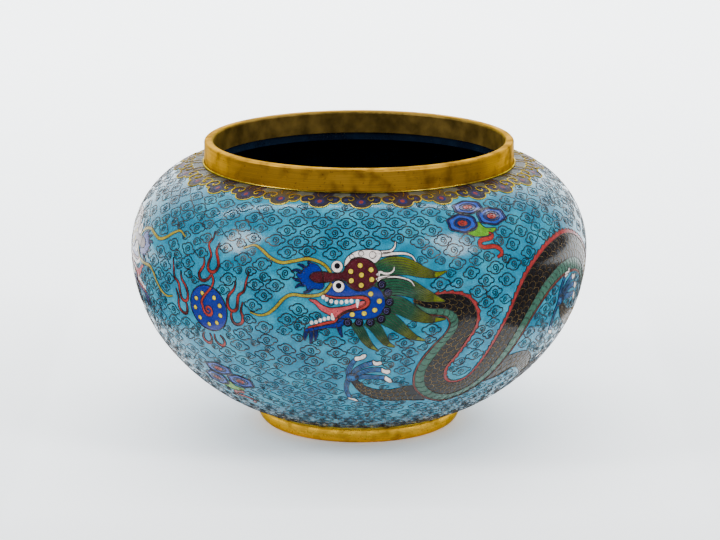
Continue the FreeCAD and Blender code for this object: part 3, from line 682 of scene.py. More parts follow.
# The toes of a paw: a line from the palm to the nail, and half its width along the way.
TOES = [([(-4, -34), (-4.4, -31.5), (-3.2, -28), (-1.6, -25.4)], [1.1, 1.0, 0.95, 0.9]),
        ([(-3, -33.4), (-1.4, -30.6), (1.6, -28.4), (5.6, -26.9)], [0.8, 0.95, 1.0, 1.0]),
        ([(-2, -34), (1, -31.9), (4.6, -30.6), (9.3, -30.6)], [0.8, 1.1, 1.1, 1.1]),
        ([(-1.8, -35.2), (2, -34.2), (6, -34.4), (11, -35)], [0.8, 1.2, 1.1, 1.1]),
        ([(-4.2, -35), (-5.3, -38.5), (-5.6, -42.5), (-4.4, -47)], [1.1, 1.0, 0.95, 0.9])]
NAILS = [[(-1.7, -24), (0.2, -23.6), (1.6, -22.7), (2.9, -23.1), (2.4, -24.6), (0.4, -25.6),
          (-1.6, -25.9)],
         [(5.3, -25.7), (7, -26.4), (8.6, -26.2), (9.2, -27.6), (7.6, -28.4), (5.8, -28)],
         [(9.1, -29.4), (10.6, -30.4), (12.4, -30.6), (13, -32), (11.8, -33), (10.2, -32.4),
          (9.2, -31.7)],
         [(11, -33.8), (12.4, -34.8), (13.6, -35.8), (14.2, -37.8), (13, -38), (11.4, -36.8),
          (10.6, -36)],
         [(-5.2, -47), (-3.6, -47.4), (-1.6, -48), (-0.4, -49.6), (-1.2, -50), (-3, -49.2),
          (-4.9, -48.2)]]
PALM = [(-5.2, -33.6), (-3.4, -32.2), (-1.4, -32.8), (-0.2, -34.4), (-1.4, -36.2), (-3.8, -36.8),
        (-5.3, -36)]


def dragon_limbs(pen, body):
    for line, widths in LEGS:
        left, right = band_edges(line, widths)
        pen.strip("body", left, right, SCALE_BROWN, layer=-1)
        scale_arcs(pen, left, right, 0.02, 0.98, [body])
        for edge in (left, right):
            pen.wire(edge, 0.36, behind=[body])
        taken.append(pen.at(np.vstack([left, right[::-1]])))
    for shift in PAW_SHIFTS:
        for line, widths in TOES:
            toe = np.array(line) + shift
            pen.lock("paws", toe, widths, TOE_BLUE, layer=1, edge=0.32, lines=2)
        for nail in NAILS:
            pen.shape("paws", np.array(nail) + shift, WHITE, 0.4, layer=2, edge=0.36, keep=True)
        pen.shape("paws", np.array(PALM) + shift, TOE_BLUE, layer=1, edge=0.36, keep=True)


# ---- The dragons' heads -------------------------------------------------------------------------

MANE = [([(6, 9.6), (12, 12), (18, 11.6), (24, 9.3), (29, 8), (33.6, 8.9)],
         [3.2, 3.5, 3.3, 2.4, 1.4, 0.25]),
        ([(6, 3.5), (13, 4.8), (19, 3.4), (24.5, 0.6), (32.6, -2.4)], [3.4, 3.6, 3.1, 2.2, 0.25]),
        ([(8, -1.5), (15, -3), (21, -6.6), (27, -9), (33.2, -9.4)], [3.2, 3.4, 2.7, 1.6, 0.25]),
        ([(6, -5.5), (12, -8.8), (16.2, -12.2), (20.5, -15.6), (25.6, -17.8)],
         [2.6, 2.9, 2.2, 1.4, 0.25]),
        ([(3, -8.5), (6, -11.2), (8.5, -15), (10.8, -18.2), (13.9, -19.8)],
         [2, 2.1, 1.9, 1.3, 0.25]),
        ([(-1.8, -9), (0.4, -12.5), (2.2, -16), (4.4, -19), (7.3, -21.2)],
         [1.8, 1.9, 1.7, 1.2, 0.25])]
BEARD = [(8.4, 5.2), (10.6, 2.2), (11.2, -1.4), (10.2, -4.8), (8.2, -7.9), (4.2, -9.2), (0, -9.2),
         (-4.2, -9.3)]
UPPER_HORN = [(1, 17.2), (5, 17.4), (9, 17.3), (12.2, 17.7), (14, 19.2), (14.5, 21.2)]
LOWER_HORN = [(4, 15.6), (8, 16.2), (13, 16.6), (17.6, 16.5), (20.4, 15.4), (21.7, 13.4)]
HORN_WIDTHS = [1.2, 0.9, 0.7, 0.6, 0.5, 0.3]
CREST = [(-5.6, 12), (-5.2, 14.6), (-3.2, 16.8), (0.4, 18.2), (4.6, 18.3), (8, 17.9), (8.6, 16),
         (6, 13.2), (3, 14.8), (0, 15.5), (-2.8, 14.8), (-4.2, 13)]
CREST_CURLS = [((5.2, 16.3), 1.3), ((0.8, 16.9), 1.0), ((-2.8, 15.7), 0.9)]
SNOUT = [(-18.6, 7.6), (-17, 9.5), (-13, 9.9), (-10.4, 9.5), (-6.4, 9.9), (-4.9, 12.2),
         (-2.8, 14.4), (0.8, 15.3), (4.4, 14.2), (6.6, 11.6), (7.1, 8.8), (6.2, 6), (3.6, 3.8),
         (0.4, 2.9), (-2.6, 4), (-4.6, 6.2), (-7, 7), (-11.6, 6.1), (-16, 5.8)]
DOTS = [(0.4, 12.4), (-3.1, 10.2), (0.9, 8.9), (4.5, 10.8), (-2.9, 6.8), (0.8, 5.1), (4.7, 7.2)]
NOSE = [(-23.8, 8.6), (-21.8, 9.2), (-21, 10.8), (-19.6, 11.8), (-18.4, 13), (-16, 12.4),
        (-14.4, 10.8), (-13.6, 9), (-13.4, 6.4), (-13, 4.4), (-14.6, 3.2), (-17.2, 3.4),
        (-19.2, 2.6), (-19.8, 4.2), (-21.6, 5.2), (-22.4, 6.8)]
NOSE_ARMS = [[(-20, 10.4), (-21.6, 11.8), (-23.6, 12.2)],
             [(-21.6, 9.2), (-23.6, 10), (-25.6, 9.6)],
             [(-21.6, 6.4), (-23.4, 6.4), (-25, 7)], [(-20.4, 4.8), (-22.4, 4.6), (-24, 3.4)],
             [(-17.6, 3.6), (-19, 2.4), (-20.8, 1.8)], [(-18.4, 12), (-19.2, 13.2), (-19, 14.4)]]
LIP = [(-13, 2), (-11.4, 4.8), (-9, 7), (-5.6, 6.2), (-3, 4), (0, 2.9), (3.4, 3.8), (4.6, 4.8),
       (6.8, 4.2), (8.6, 2.2), (9.8, -1.2), (9, -4.4), (6.6, -7), (3, -7.9), (-2, -7.6),
       (-5.6, -7.6), (-8, -9.6), (-7.4, -7), (-4.6, -5), (-1, -4.4), (2.4, -3.8), (4.1, -1.8),
       (3.6, 0.4), (1, 1.2), (-4, 0.9), (-9, 0.9)]
CHEEK_DOTS = [(4.3, 1.9), (7.5, -0.9), (5.8, -4.3), (1.9, -5.6), (-2.5, -6)]
GUMS = [(-13.8, 1.6), (-9.6, 0.5), (-4, 0.5), (0.4, 0.7), (2.6, 0.2), (3.1, -1.4), (1.8, -2.9),
        (-1, -3.9), (-4.6, -4.9), (-7, -6.4), (-9, -8.7), (-13, -9.8), (-19.4, -11.8)]
GUM_WIDTHS = [0.25, 0.4, 0.45, 0.5, 0.8, 0.9, 0.7, 0.5, 0.5, 0.55, 0.6, 0.5, 0.3]
TONGUE = [(-18.8, -0.7), (-16, -0.7), (-13.8, -2.4), (-10.6, -3.5), (-7, -3.1), (-3.4, -2.5),
          (-0.8, -1.4), (1.8, -0.6), (2.4, -2), (0, -3.5), (-4, -4.5), (-6.4, -5.8), (-8.6, -7.4),
          (-11.6, -6.2), (-14.4, -4.6), (-16.4, -2.4)]
JAW = [(-20.4, -12.4), (-16, -11.4), (-12, -10.3), (-9, -9.5), (-7.4, -7.6), (-5.2, -8.2),
       (-5.6, -10.2), (-8.2, -11.4), (-12, -11.6), (-15.6, -12.6), (-18, -13.2), (-20.2, -13.6)]
TUFTS = [[(-19.8, -12.4), (-20.4, -14.6), (-21, -17.4)], [(-18.2, -12.4), (-18.2, -15.4),
         (-18.8, -18.8)], [(-16.4, -12), (-16.4, -14.6), (-16.8, -17.2)],
         [(-7.6, -10), (-7.2, -12.6), (-6.4, -15.4)]]
UPPER_TEETH = [(-13.2, 0.5), (-12, -0.3), (-10.3, -1.0), (-8.4, -1.3), (-6.5, -1.3), (-4.6, -1.0),
               (-2.8, -0.8)]
LOWER_TEETH = [(-17.8, -9.7), (-16.1, -9.3), (-14.5, -8.6), (-12.9, -8), (-11.4, -7.6)]
FANGS = [[(-1.2, -0.4), (0, -0.4), (-0.2, -2), (-0.7, -3.5)],
         [(-10.4, -8), (-9.2, -8.2), (-9.4, -6.8), (-10.2, -5.6)]]
EYES = [(-8.3, 11.9), (-7.6, 4.6)]
SIDE_HORNS = [[(7, 8.6), (7.8, 9.9), (9.6, 9.3), (11.6, 9.4), (13, 10.4), (13.3, 11.6)],
              [(6.6, 6.9), (8.4, 7.9), (13, 8.1), (17, 7.3), (19.4, 6.1), (20.7, 4.2)]]
WHISKERS = [[(-10.6, 9.6), (-12.6, 12), (-15.8, 13.7), (-20, 14.4), (-25, 13.3), (-30, 12.4),
             (-34.6, 13.8), (-39, 16.6), (-42.6, 17.9), (-47, 16.2)],
            [(-10.2, 5.8), (-12, 3), (-15, 1.2), (-20, 0.6), (-25, 0.8), (-28.4, -1),
             (-31.6, -4.6), (-35, -7.4), (-38.6, -8.4), (-42.4, -7.6)]]


def mane_colour(places):
    """Dark green by the head, turning yellow green towards the tips."""
    away = np.hypot(places[:, 0] - 4, (places[:, 1] + 1) * 1.2)
    share = np.clip((away - 16.5) / 6, 0, 1)[:, None]
    return between(np.array(DARK_GREEN), np.array(YELLOW_GREEN), share)


def spiral(centre, radius, turns, start, step=0.3, inner=0.25):
    """A line that winds in from a radius to an inner one."""
    count = max(int(turns * math.pi * (radius + inner) / step), 10)
    turn = np.linspace(0, 1, count)
    angle = start + turn * turns * 2 * math.pi
    reach = radius + (inner - radius) * turn
    return np.column_stack([centre[0] + reach * np.cos(angle), centre[1] + reach * np.sin(angle)])


def dragon_head(pen):
    crest = curve(CREST, 0.5, closed=True)
    snout = curve(SNOUT, 0.5, closed=True)
    lip = curve(LIP, 0.5, closed=True)
    for order, (line, widths) in enumerate(reversed(MANE)):
        lines = 6 if widths[0] > 3 else 4
        pen.lock("mane", line, widths, mane_colour, layer=1 + order * 0.3, lines=lines, edge=0.3,
                 behind=[crest, snout, lip])
    for curl in BEARD:
        pen.cell("curls", ring(curl, 1.7), BLACK, edge=0, keep=True, lift=CURL_TOP)
        pen.part("curls").wire(pen.at(spiral(curl, 1.2, 1.5, 0.6)), 0.18, CURL_TOP + 0.05,
                               colour=CURL_BLUE)
    for horn in (UPPER_HORN, LOWER_HORN):
        pen.lock("head", horn, HORN_WIDTHS, WHITE, layer=1, edge=0.34, behind=[crest, snout])
    pen.cell("head", crest, WHITE, layer=1, edge=0.36, keep=True)
    for place, size in CREST_CURLS:
        pen.wire(ring(place, size), 0.26, closed=True)
    for tuft in TUFTS:
        pen.lock("head", tuft, [0.9, 0.8, 0.25], DEEP_BLUE, layer=1, edge=0.28)
    pen.shape("head", JAW, BLUE, layer=2, edge=0.34, keep=True)
    for arm in NOSE_ARMS:
        pen.lock("head", arm, [0.7, 0.55, 0.2], DEEP_BLUE, layer=1, edge=0.3)
    pen.shape("head", NOSE, BLUE, 0.4, layer=2, edge=0.34, keep=True)
    pen.cell("head", lip, BLUE, layer=3, keep=True)
    pen.shape("head", TONGUE, PINK, layer=3, edge=0.34, keep=True)
    pen.lock("head", GUMS, GUM_WIDTHS, RED, layer=4, edge=0.26)
    pen.cell("head", snout, MAROON, layer=4, keep=True)
    for place in DOTS + CHEEK_DOTS:
        pen.cell("head", ring(place, 0.98, 16), YELLOW, layer=5, edge=0.2)
    for place in UPPER_TEETH + LOWER_TEETH:
        pen.cell("head", ring(place, 0.68, 12, 1.15), WHITE, edge=0, lift=TOOTH_TOP)
    for fang in FANGS:
        pen.shape("head", fang, WHITE, 0.3, edge=0, lift=TOOTH_TOP)
    for place in EYES:
        pen.cell("head", ring(place, 2.2, 26), WHITE, layer=6, edge=0.3, keep=True)
        pen.cell("head", ring((place[0] + 0.05, place[1] + 0.25), 1.12, 18), BLACK, layer=7,
                 edge=0)
    for horn in SIDE_HORNS:
        pen.lock("head", horn, [0.75, 0.5, 0.45, 0.4, 0.35, 0.2], WHITE, layer=5, edge=0.26)
    for whisker in WHISKERS:
        pen.lock("head", whisker, [0.55, 0.6, 0.62, 0.6, 0.3], OLIVE, layer=6, edge=0.3)


for side, mirrored in (("right", False), ("left", True)):
    pen = Pen(f"dragon_{side}", mirrored)
    locks = [np.vstack([left, right[::-1]]) for left, right in
             (band_edges(line, widths) for line, widths in MANE)]
    body = dragon_body(pen, locks)
    dragon_limbs(pen, body)
    dragon_head(pen)


# ---- The pearl between the dragons --------------------------------------------------------------

FLAMES = [([(-58.4, 17), (-59, 13.8), (-57.4, 10.5), (-56.9, 8), (-58.2, 6), (-60.3, 5.6),
            (-61.8, 7), (-61.6, 9.5), (-61.2, 12), (-63.6, 15.5), (-62.4, 18.4), (-62.8, 21)],
           [0.45, 0.75, 0.85, 0.85, 0.85, 0.85, 0.85, 0.7, 0.6, 0.6, 0.5, 0.3]),
          ([(-60, 4.6), (-61, 3), (-63, 1.8), (-65, 2), (-66, 4), (-64.8, 6), (-63.9, 8),
            (-64.5, 10.5)], [0.5, 0.75, 0.8, 0.8, 0.8, 0.8, 0.6, 0.3])]
SIDE_FLAMES = [([(-48.3, 3.5), (-49, 0.5), (-51.4, -2.2), (-52.2, -5), (-51.6, -7.4), (-50, -8.2),
                 (-48.2, -7.2), (-47.6, -4.6), (-47, -1.6), (-44.6, 0.4), (-43.8, 4),
                 (-42.8, 7.5)],
                [0.35, 0.6, 0.75, 0.85, 0.85, 0.85, 0.85, 0.8, 0.7, 0.6, 0.5, 0.3]),
               ([(-50.6, -8.6), (-51, -10.5), (-50.3, -12.8), (-48.5, -13.5), (-46.3, -12.3),
                 (-45.8, -9.8), (-46.3, -7.5), (-45.3, -4)],
                [0.5, 0.75, 0.85, 0.85, 0.85, 0.75, 0.55, 0.3]),
               ([(-66.4, -19.5), (-67.8, -21.4), (-67.6, -23.4), (-65.8, -24.4), (-63.9, -23.4),
                 (-63.2, -21.6), (-63.5, -19.5)], [0.35, 0.7, 0.85, 0.85, 0.8, 0.6, 0.35])]
FLAME_SHARE = 0.72
PEARL_DOTS = [(-64.3, -3.3), (-58.4, -4.2), (-67.7, -5.8), (-56, -7), (-68.7, -9.6),
              (-56.2, -11), (-67, -13.5), (-58.5, -14.3), (-62.6, -15.5)]
PEARL_TAIL = [(-64.6, -8.4), (-65, -7), (-64.3, -5.4), (-62.9, -3.6), (-60.8, -1.6),
              (-59.2, 0.4), (-58.6, 2.7), (-59.7, 4.7)]


def flame_colour(places):
    """Red, darkening and clearing again along each tongue."""
    share = 0.5 + 0.5 * np.sin(places[:, 1] * 0.75 + places[:, 0] * 0.4)
    return between(np.array(RED), np.array(BLACK), share[:, None] * 0.85)


plain = Pen("pearl")
turned = Pen("pearl", mirrored=True)
plain.cell("disc", ring((-62, -9), 9.2, 60), BLUE, edge=0.5, keep=True)
for place in PEARL_DOTS:
    plain.cell("disc", ring(place, 0.95, 16), YELLOW, layer=1, edge=0.2)
coil = spiral((-61.9, -9.6), 2.5, 1.35, math.pi, 0.8, 0.5)[::-1]
plain.lock("disc", np.vstack([coil, PEARL_TAIL]), [0.4, 0.6, 0.55, 0.5, 0.45], RED, layer=2,
           edge=0.24)
for flames, pens in ((FLAMES, (plain,)), (SIDE_FLAMES, (plain, turned))):
    for line, widths in flames:
        for pen in pens:
            pen.lock("flames", line, np.array(widths) * FLAME_SHARE, flame_colour, edge=0.24)


# ---- The clusters over the coils ----------------------------------------------------------------

# Each cluster's place, and whether it is turned over.
CLUSTERS = [((52.6, 27), False), ((2 * PEARL[0] - 52.6, 27), True), ((-66.5, -44.5), False),
            ((220.7, 27), False)]
LOBES = [((-7.6, -0.3), 7.2, 4.1), ((8.2, 0.9), 7.6, 3.9), ((-1.2, 6.6), 7.8, 3.3)]
LEAF = [(-7, -4.4), (-2.4, -3.6), (0, -0.6), (2.4, -3.4), (7.6, -4.2), (4.2, -6.2), (0, -6.8),
        (-4.4, -6.2)]
RIBBON = [(2.9, -5.6), (4.4, -6.6), (2.9, -7.8), (-1.6, -8.1), (-2.9, -9.6), (-1.2, -10.9),
          (3.4, -11.1), (6, -12.6), (6.3, -14.3), (3.9, -15.5)]
RIBBON_WIDTHS = [0.5, 0.9, 0.95, 0.9, 0.9, 0.9, 0.5]


LOBE_RINGS = [(1.0, DEEP_BLUE), (0.84, LOBE_BLUE), (0.56, DEEP_BLUE), (0.32, RED)]
RIPPLED_RINGS = 2


def lobe(pen, centre, wide, high):
    """A cloud head: rings of dark blue and blue round a red heart."""
    turn = np.linspace(0, 2 * math.pi, 56, endpoint=False)
    for layer, (share, colour) in enumerate(LOBE_RINGS):
        ripple = 1 + (0.055 * np.cos(6 * turn + math.pi) if layer < RIPPLED_RINGS else 0)
        places = np.column_stack([centre[0] + wide * share * ripple * np.cos(turn),
                                  centre[1] + high * share * ripple * np.sin(turn)])
        pen.cell("lobes", places, colour, layer=layer, edge=0.34, keep=layer == 0)
    pen.wire(spiral(centre, high * 0.36, 1.4, 0.4), 0.24)


def cluster(pen, place, mirrored):
    """Three cloud heads over a leaf and a ribbon."""
    flip = (-1 if mirrored else 1, 1)
    pen.shape("lobes", np.array(LEAF) * flip + place, LEAF_GREEN, edge=0.34, keep=True)
    pen.lock("lobes", np.array(RIBBON) * flip + place, RIBBON_WIDTHS, RED, edge=0.28)
    for centre, wide, high in LOBES:
        lobe(pen, np.array(centre) * flip + place, wide, high)


for place, mirrored in CLUSTERS:
    cluster(Pen("cluster"), place, mirrored)


# ---- The border under the collar ----------------------------------------------------------------

LAPPETS = 28
FIRST_LAPPET = 1.0
LAPPET_HALF = [(0, 36.4), (2.4, 36.7), (4.3, 37.8), (5.2, 39.1), (6.8, 38.8), (8.7, 39.3),
               (9.8, 40.7), (9.9, 42.3), (8.7, 43.7), (6.6, 44.2), (4.4, 43.8), (3.5, 42.4),
               (4.2, 41.2), (5.6, 41), (6.2, 41.9)]
LAPPET_EDGE = 11
LAPPET_FILLS = [shade(34, 28, 44), shade(52, 34, 40), shade(74, 62, 40)]
LAPPET_BLUE = shade(26, 30, 88)
LAPPET_RED = shade(136, 44, 38)
BEAD_BLUE = shade(30, 34, 92)
SHOULDER = 5.6
SHOULDER_UP = 45.2
BORDER_TOP = TOP - 0.15
# The right half of the sage cell between two lappets, about the middle of the gap.
GAP_HALF = [(0.2, 43), (3, 44.6), (4.4, 45), (4.4, BORDER_TOP)]


def border():
    """The lappets that hang from the collar, and the sage enamel between them."""
    gilded = piece("border_wires")
    fills = piece("border_fills")
    sages = piece("border_sage")
    pitch = ROUND / LAPPETS
    half = curve(LAPPET_HALF, 0.4)
    bottom = curve(LAPPET_HALF[:LAPPET_EDGE + 1], 0.6)
    for number in range(LAPPETS):
        middle = FIRST_LAPPET + number * pitch
        for turned in (-1, 1):
            line = half * (turned, 1) + (middle, 0)
            gilded.wire(line, 0.42, 0.24)
        right = bottom + (middle, 0)
        left = bottom[::-1] * (-1, 1) + (middle, 0)
        sides = [(middle + SHOULDER, SHOULDER_UP), (middle + SHOULDER + 0.3, BORDER_TOP),
                 (middle - SHOULDER - 0.3, BORDER_TOP), (middle - SHOULDER, SHOULDER_UP)]
        outline = np.vstack([right, sides, left[:-1]])
        taken.append(outline)
        fills.cell(outline, LAPPET_FILLS[number % 3], CELL + LAYER)
        fills.cell(ring((middle, 40), 2.4, 20, 0.7), LAPPET_BLUE, CELL + 2 * LAYER)
        fills.cell(ring((middle, 40.2), 1.1, 16, 0.9), LAPPET_RED, CELL + 3 * LAYER)
        for turned in (-1, 1):
            side = turned * 7.4
            fills.cell(ring((middle + side, 41.6), 0.8, 12, 0.9), BEAD_BLUE, CELL + 2 * LAYER)
            stem = [(turned * 1.2, 43.4), (turned * 2.6, 45.4), (turned * 3, TOP - 0.4)]
            gilded.wire(curve(np.array(stem) + (middle, 0), 0.8), 0.3, 0.2)
        gap = middle + pitch / 2
        sages.cell([(gap - across, up) for across, up in reversed(GAP_HALF)]
                   + [(gap + across, up) for across, up in GAP_HALF], SAGE, CELL)


border()


# ---- Clouds -------------------------------------------------------------------------------------

SECTORS = 6
ROW_HEIGHT = 4.25
CLOUD_PITCH = 9.1
CLOUDS_TOP = 42.0
CLOUD_GAP = 0.32
FIRST_ROW = CLOUDS_TOP - 8.6
ROWS = int((CLOUDS_TOP - BOTTOM - 11) / ROW_HEIGHT) + 1
CLOUD_SCALES = (1.0, 0.9, 0.8)
SMALL_ROW_HEIGHT = 2.4
SMALL_PITCH = 3.4
SMALL_SCALES = (1.0, 0.86, 0.74)
SHIFTS = 6
CLOUD_WIRE, THIN_WIRE = 0.5, 0.38
FOOT_ZONE = -30

CLOUD_LOOP = curve([(4.1, 0.1), (3.5, 0.95), (2.6, 0.95), (2.1, 1.75), (0.2, 2.45), (-1.8, 1.85),
                    (-2.5, 1.0), (-3.4, 0.85), (-4.1, -0.1), (-3.5, -1.0), (-2.5, -1.05),
                    (-1.7, -1.9), (0.1, -2.35), (1.8, -1.9), (2.4, -1.05), (3.4, -0.9)],
                   0.4, closed=True)
CLOUD_ROLL = spiral((0.1, 0), 1.6, 1.6, -1.6, 0.5, 0.3)
SMALL_LOOP = curve([(2.7, 0.1), (2.1, 1.4), (0.6, 1.9), (-0.8, 1.5), (-1.2, 0.85), (-2, 0.85),
                    (-2.8, 0), (-2.1, -0.85), (-1.2, -0.8), (-0.6, -1.6), (0.8, -1.9), (2.1, -1.3)],
                   0.4, closed=True)
SMALL_ROLL = spiral((0.7, 0.05), 1.3, 1.3, -1.6, 0.5, 0.35)


class Taken:
    """A grid over the developed wall that knows how far a place is from every motif."""

    FAR = 99.0
    REACH = 7.0
    DIAGONAL = 1.414

    def __init__(self, outlines, step=0.6):
        self.step = step
        self.low = np.array([-ROUND / 2, BOTTOM])
        self.size = (int(ROUND / step) + 1, int((TOP - BOTTOM) / step) + 1)
        grid = np.indices(self.size).reshape(2, -1).T * step + self.low
        filled = np.zeros(len(grid), bool)
        for outline in outlines:
            centre = outline[:, 0].mean()
            shift = round(centre / ROUND) * ROUND
            for turns in (-1, 0, 1):
                moved = outline - (shift + turns * ROUND, 0)
                near = np.all((grid >= moved.min(0)) & (grid <= moved.max(0)), axis=1)
                if near.any():
                    filled[near] |= inside(grid[near], moved)
        self.distance = self.grown(filled.reshape(self.size))

    def grown(self, filled):
        """Distances to the filled places, grown step by step up to a few millimetres."""
        ways = [(-1, 0), (1, 0), (0, -1), (0, 1), (-1, -1), (-1, 1), (1, -1), (1, 1)]
        distance = np.where(filled, 0.0, self.FAR)
        for _ in range(int(self.REACH / self.step)):
            for across, up in ways:
                moved = np.roll(distance, (across, up), (0, 1))
                if up:
                    moved[:, 0 if up == 1 else -1] = self.FAR
                length = self.DIAGONAL if across and up else 1
                distance = np.minimum(distance, moved + self.step * length)
        return distance

    def cells(self, places):
        across = np.round((places[:, 0] - self.low[0]) / self.step).astype(int) % self.size[0]
        up = np.round((places[:, 1] - self.low[1]) / self.step).astype(int)
        return across, np.clip(up, 0, self.size[1] - 1)

    def clearance(self, places):
        return self.distance[self.cells(places)].min()

    def mark(self, outline, reach=3.0):
        """Takes the place of a cloud, so that nothing else is put there."""
        low, high = outline.min(0) - reach, outline.max(0) + reach
        across, up = np.meshgrid(np.arange(low[0], high[0], self.step),
                                 np.arange(low[1], high[1], self.step))
        places = np.column_stack([across.ravel(), up.ravel()])
        away = np.linalg.norm(places[:, None] - outline[None], axis=2).min(1)
        away[inside(places, outline)] = 0
        cells = self.cells(places)
        self.distance[cells] = np.minimum(self.distance[cells], away)


def cloud_at(across, up, scale, wide, angle, flip, small):
    """A cloud's outline and spiral at a place, as wide as it is on the wall."""
    turn = np.array([[math.cos(angle), -math.sin(angle)], [math.sin(angle), math.cos(angle)]])
    lines = []
    for line in (SMALL_LOOP, SMALL_ROLL) if small else (CLOUD_LOOP, CLOUD_ROLL):
        moved = (line * (flip * scale * wide, scale)) @ turn.T
        moved[:, 0] *= spread(up)
        lines.append(moved + (across, up))
    return lines


def clouds():
    """Rows of clouds, staggered, and smaller ones wherever there is still room."""
    free = Taken(taken)
    sites = []
    for row in range(ROWS):
        up = FIRST_ROW - row * ROW_HEIGHT
        count = round(2 * math.pi * profile(up)[0] / CLOUD_PITCH)
        stagger = 0.5 if row % 2 else 0
        sites += [(((number + stagger) / count - 0.5) * ROUND, up, CLOUD_SCALES, False)
                  for number in range(count)]
    for up in np.arange(CLOUDS_TOP - 2, BOTTOM + 2, -SMALL_ROW_HEIGHT):
        count = round(2 * math.pi * profile(up)[0] / SMALL_PITCH)
        sites += [((number / count - 0.5) * ROUND, up, SMALL_SCALES, True)
                  for number in range(count)]
    for across, up, scales, small in sites:
        angle = random.uniform(-0.2, 0.2)
        flip = random.choice((-1, 1))
        wide = random.uniform(0.88, 1.02)
        shifts = [(0, 0)] + [(random.uniform(-1.8, 1.8), random.uniform(-1.1, 1.1))
                             for _ in range(SHIFTS)]
        for scale, (right, rise) in ((scale, shift) for scale in scales for shift in shifts):
            size = scale * random.uniform(0.95, 1.03)
            loop, roll = cloud_at(across + right, up + rise, size, wide, angle, flip, small)
            if free.clearance(loop) > CLOUD_GAP and loop[:, 1].max() < CLOUDS_TOP:
                sector = int((across / ROUND + 0.5) * SECTORS) % SECTORS
                target = piece(f"cloud_wires_{sector + 1}")
                width = CLOUD_WIRE if up > FOOT_ZONE and size > 0.8 else THIN_WIRE
                target.wire(loop, width, CLOUD_TOP, closed=True)
                target.wire(roll, width * 0.86, CLOUD_TOP)
                free.mark(loop)
                break


clouds()


# ---- The turquoise ground -----------------------------------------------------------------------

def turquoise_ground():
    """The ground enamel as a closed shell over the whole wall, seen between the drawings."""
    ground = piece("ground_glaze")
    around = 300
    ups = np.concatenate([np.linspace(BOTTOM, 0, 60), np.linspace(0, TOP, 34)[1:]])
    across = np.arange(around) * ROUND / around
    faces = []
    for row in range(0, (len(ups) - 1) * around, around):
        for column in range(around):
            here, right = row + column, row + (column + 1) % around
            faces.append((here, right, right + around, here + around))
    ground.surface([(u, v) for v in ups for u in across], faces, (1, 1, 1), 0, floor=-0.5)


turquoise_ground()


# ---- Pieces -------------------------------------------------------------------------------------

# Each drawn piece's material and slot, by its name or by the end of it.
FINISH = {"border_wires": (gilt_wire, "gilt_wire"), "border_sage": (lappet, "sage_enamel"),
          "border_fills": (lappet, "dark_lappet_enamel"),
          "ground_glaze": (turquoise, "turquoise_enamel"),
          "head": (coloured, "head_enamel"), "mane": (coloured, "mane_enamel"),
          "body": (coloured, "scale_enamel"), "paws": (coloured, "claw_enamel"),
          "scales": (scale_wire, "cloison_wire"), "wires": (dark_wire, "cloison_wire"),
          "disc": (coloured, "pearl_enamel"), "flames": (coloured, "flame_enamel"),
          "lobes": (coloured, "cluster_enamel"), "curls": (coloured, "head_enamel")}
# The CAD pieces that each drawn piece stands for.
REPLACED = {"ground_glaze": ("ground_enamel", "border_ground_enamel"),
            "border_fills": ("ruyi_lappets_dark_enamel", "ruyi_lappets_olive_enamel"),
            "border_wires": ("ruyi_border_wire",),
            "pearl_disc": ("pearl_enamel",), "pearl_flames": ("pearl_flames_enamel",),
            "pearl_wires": ("pearl_outline_wire",),
            "cluster_lobes": ("cloud_clusters_enamel",), "cluster_wires": ("cloud_clusters_wire",)}
for side in ("right", "left"):
    dragon = f"dragon_{side}"
    for part in ("head", "mane", "paws"):
        REPLACED[f"{dragon}_{part}"] = (f"{dragon}_{part}_enamel",)
    REPLACED[f"{dragon}_body"] = (f"{dragon}_body_enamel", f"{dragon}_legs_enamel")
    REPLACED[f"{dragon}_wires"] = (f"{dragon}_outline_wire",)

for name, drawn in pieces.items():
    if name.startswith("cloud_wires"):
        material, slot = dark_wire, "cloison_wire"
    else:
        material, slot = FINISH[name] if name in FINISH else FINISH[name.rsplit("_", 1)[1]]
    drawn.build(material, slot, REPLACED.get(name, ()))

# The CAD's own pieces that stay in sight, and their materials.
CARRIED = {"copper_body_upper": copper, "copper_body_lower": copper, "rim_collar": brass,
           "foot_ring": foot_brass_with_painted_light, "collar_wire_ring": gilt_wire, "foot_wire_ring": gilt_wire,
           "interior_enamel": navy, "base_enamel": navy}
for name, material in CARRIED.items():
    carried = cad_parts[name]
    carried.data.materials.clear()
    carried.data.materials.append(material)


# ---- The floor, the light and the camera --------------------------------------------------------

CAMERA_PLACE = (0, -1.2, 0.3503)
CAMERA_TILT = 13.58
LAMP_AIM = Vector((0, 0, 0.07))
FLAG_WALLS = [(-2.4, 2.0), (-2.2, -1.5), (-1.2, -2.1), (1.2, -2.1), (2.2, -1.5), (2.4, 2.0)]
FLAG_LOW, FLAG_HIGH, FLAG_SIDE = 0.002, 2.2, 2.8
# Level cards: the height, then the left, right, back and front edges.
FLAG_LEVELS = [(FLAG_LOW, -FLAG_SIDE, FLAG_SIDE, -0.13, -0.42),
               (FLAG_LOW, -FLAG_SIDE, FLAG_SIDE, -0.8, -2.1),
               (FLAG_LOW, -FLAG_SIDE, -0.13, 0.2, -0.13),
               (FLAG_LOW, 0.13, FLAG_SIDE, 0.2, -0.13),
               (FLAG_HIGH, -FLAG_SIDE, FLAG_SIDE, 1.0, -2.1)]


def staged(name, points, faces, material):
    """A mesh that belongs to the studio."""
    mesh = bpy.data.meshes.new(name)
    mesh.from_pydata(points, [], faces)
    mesh.materials.append(material)
    card = added(name, mesh)
    return card


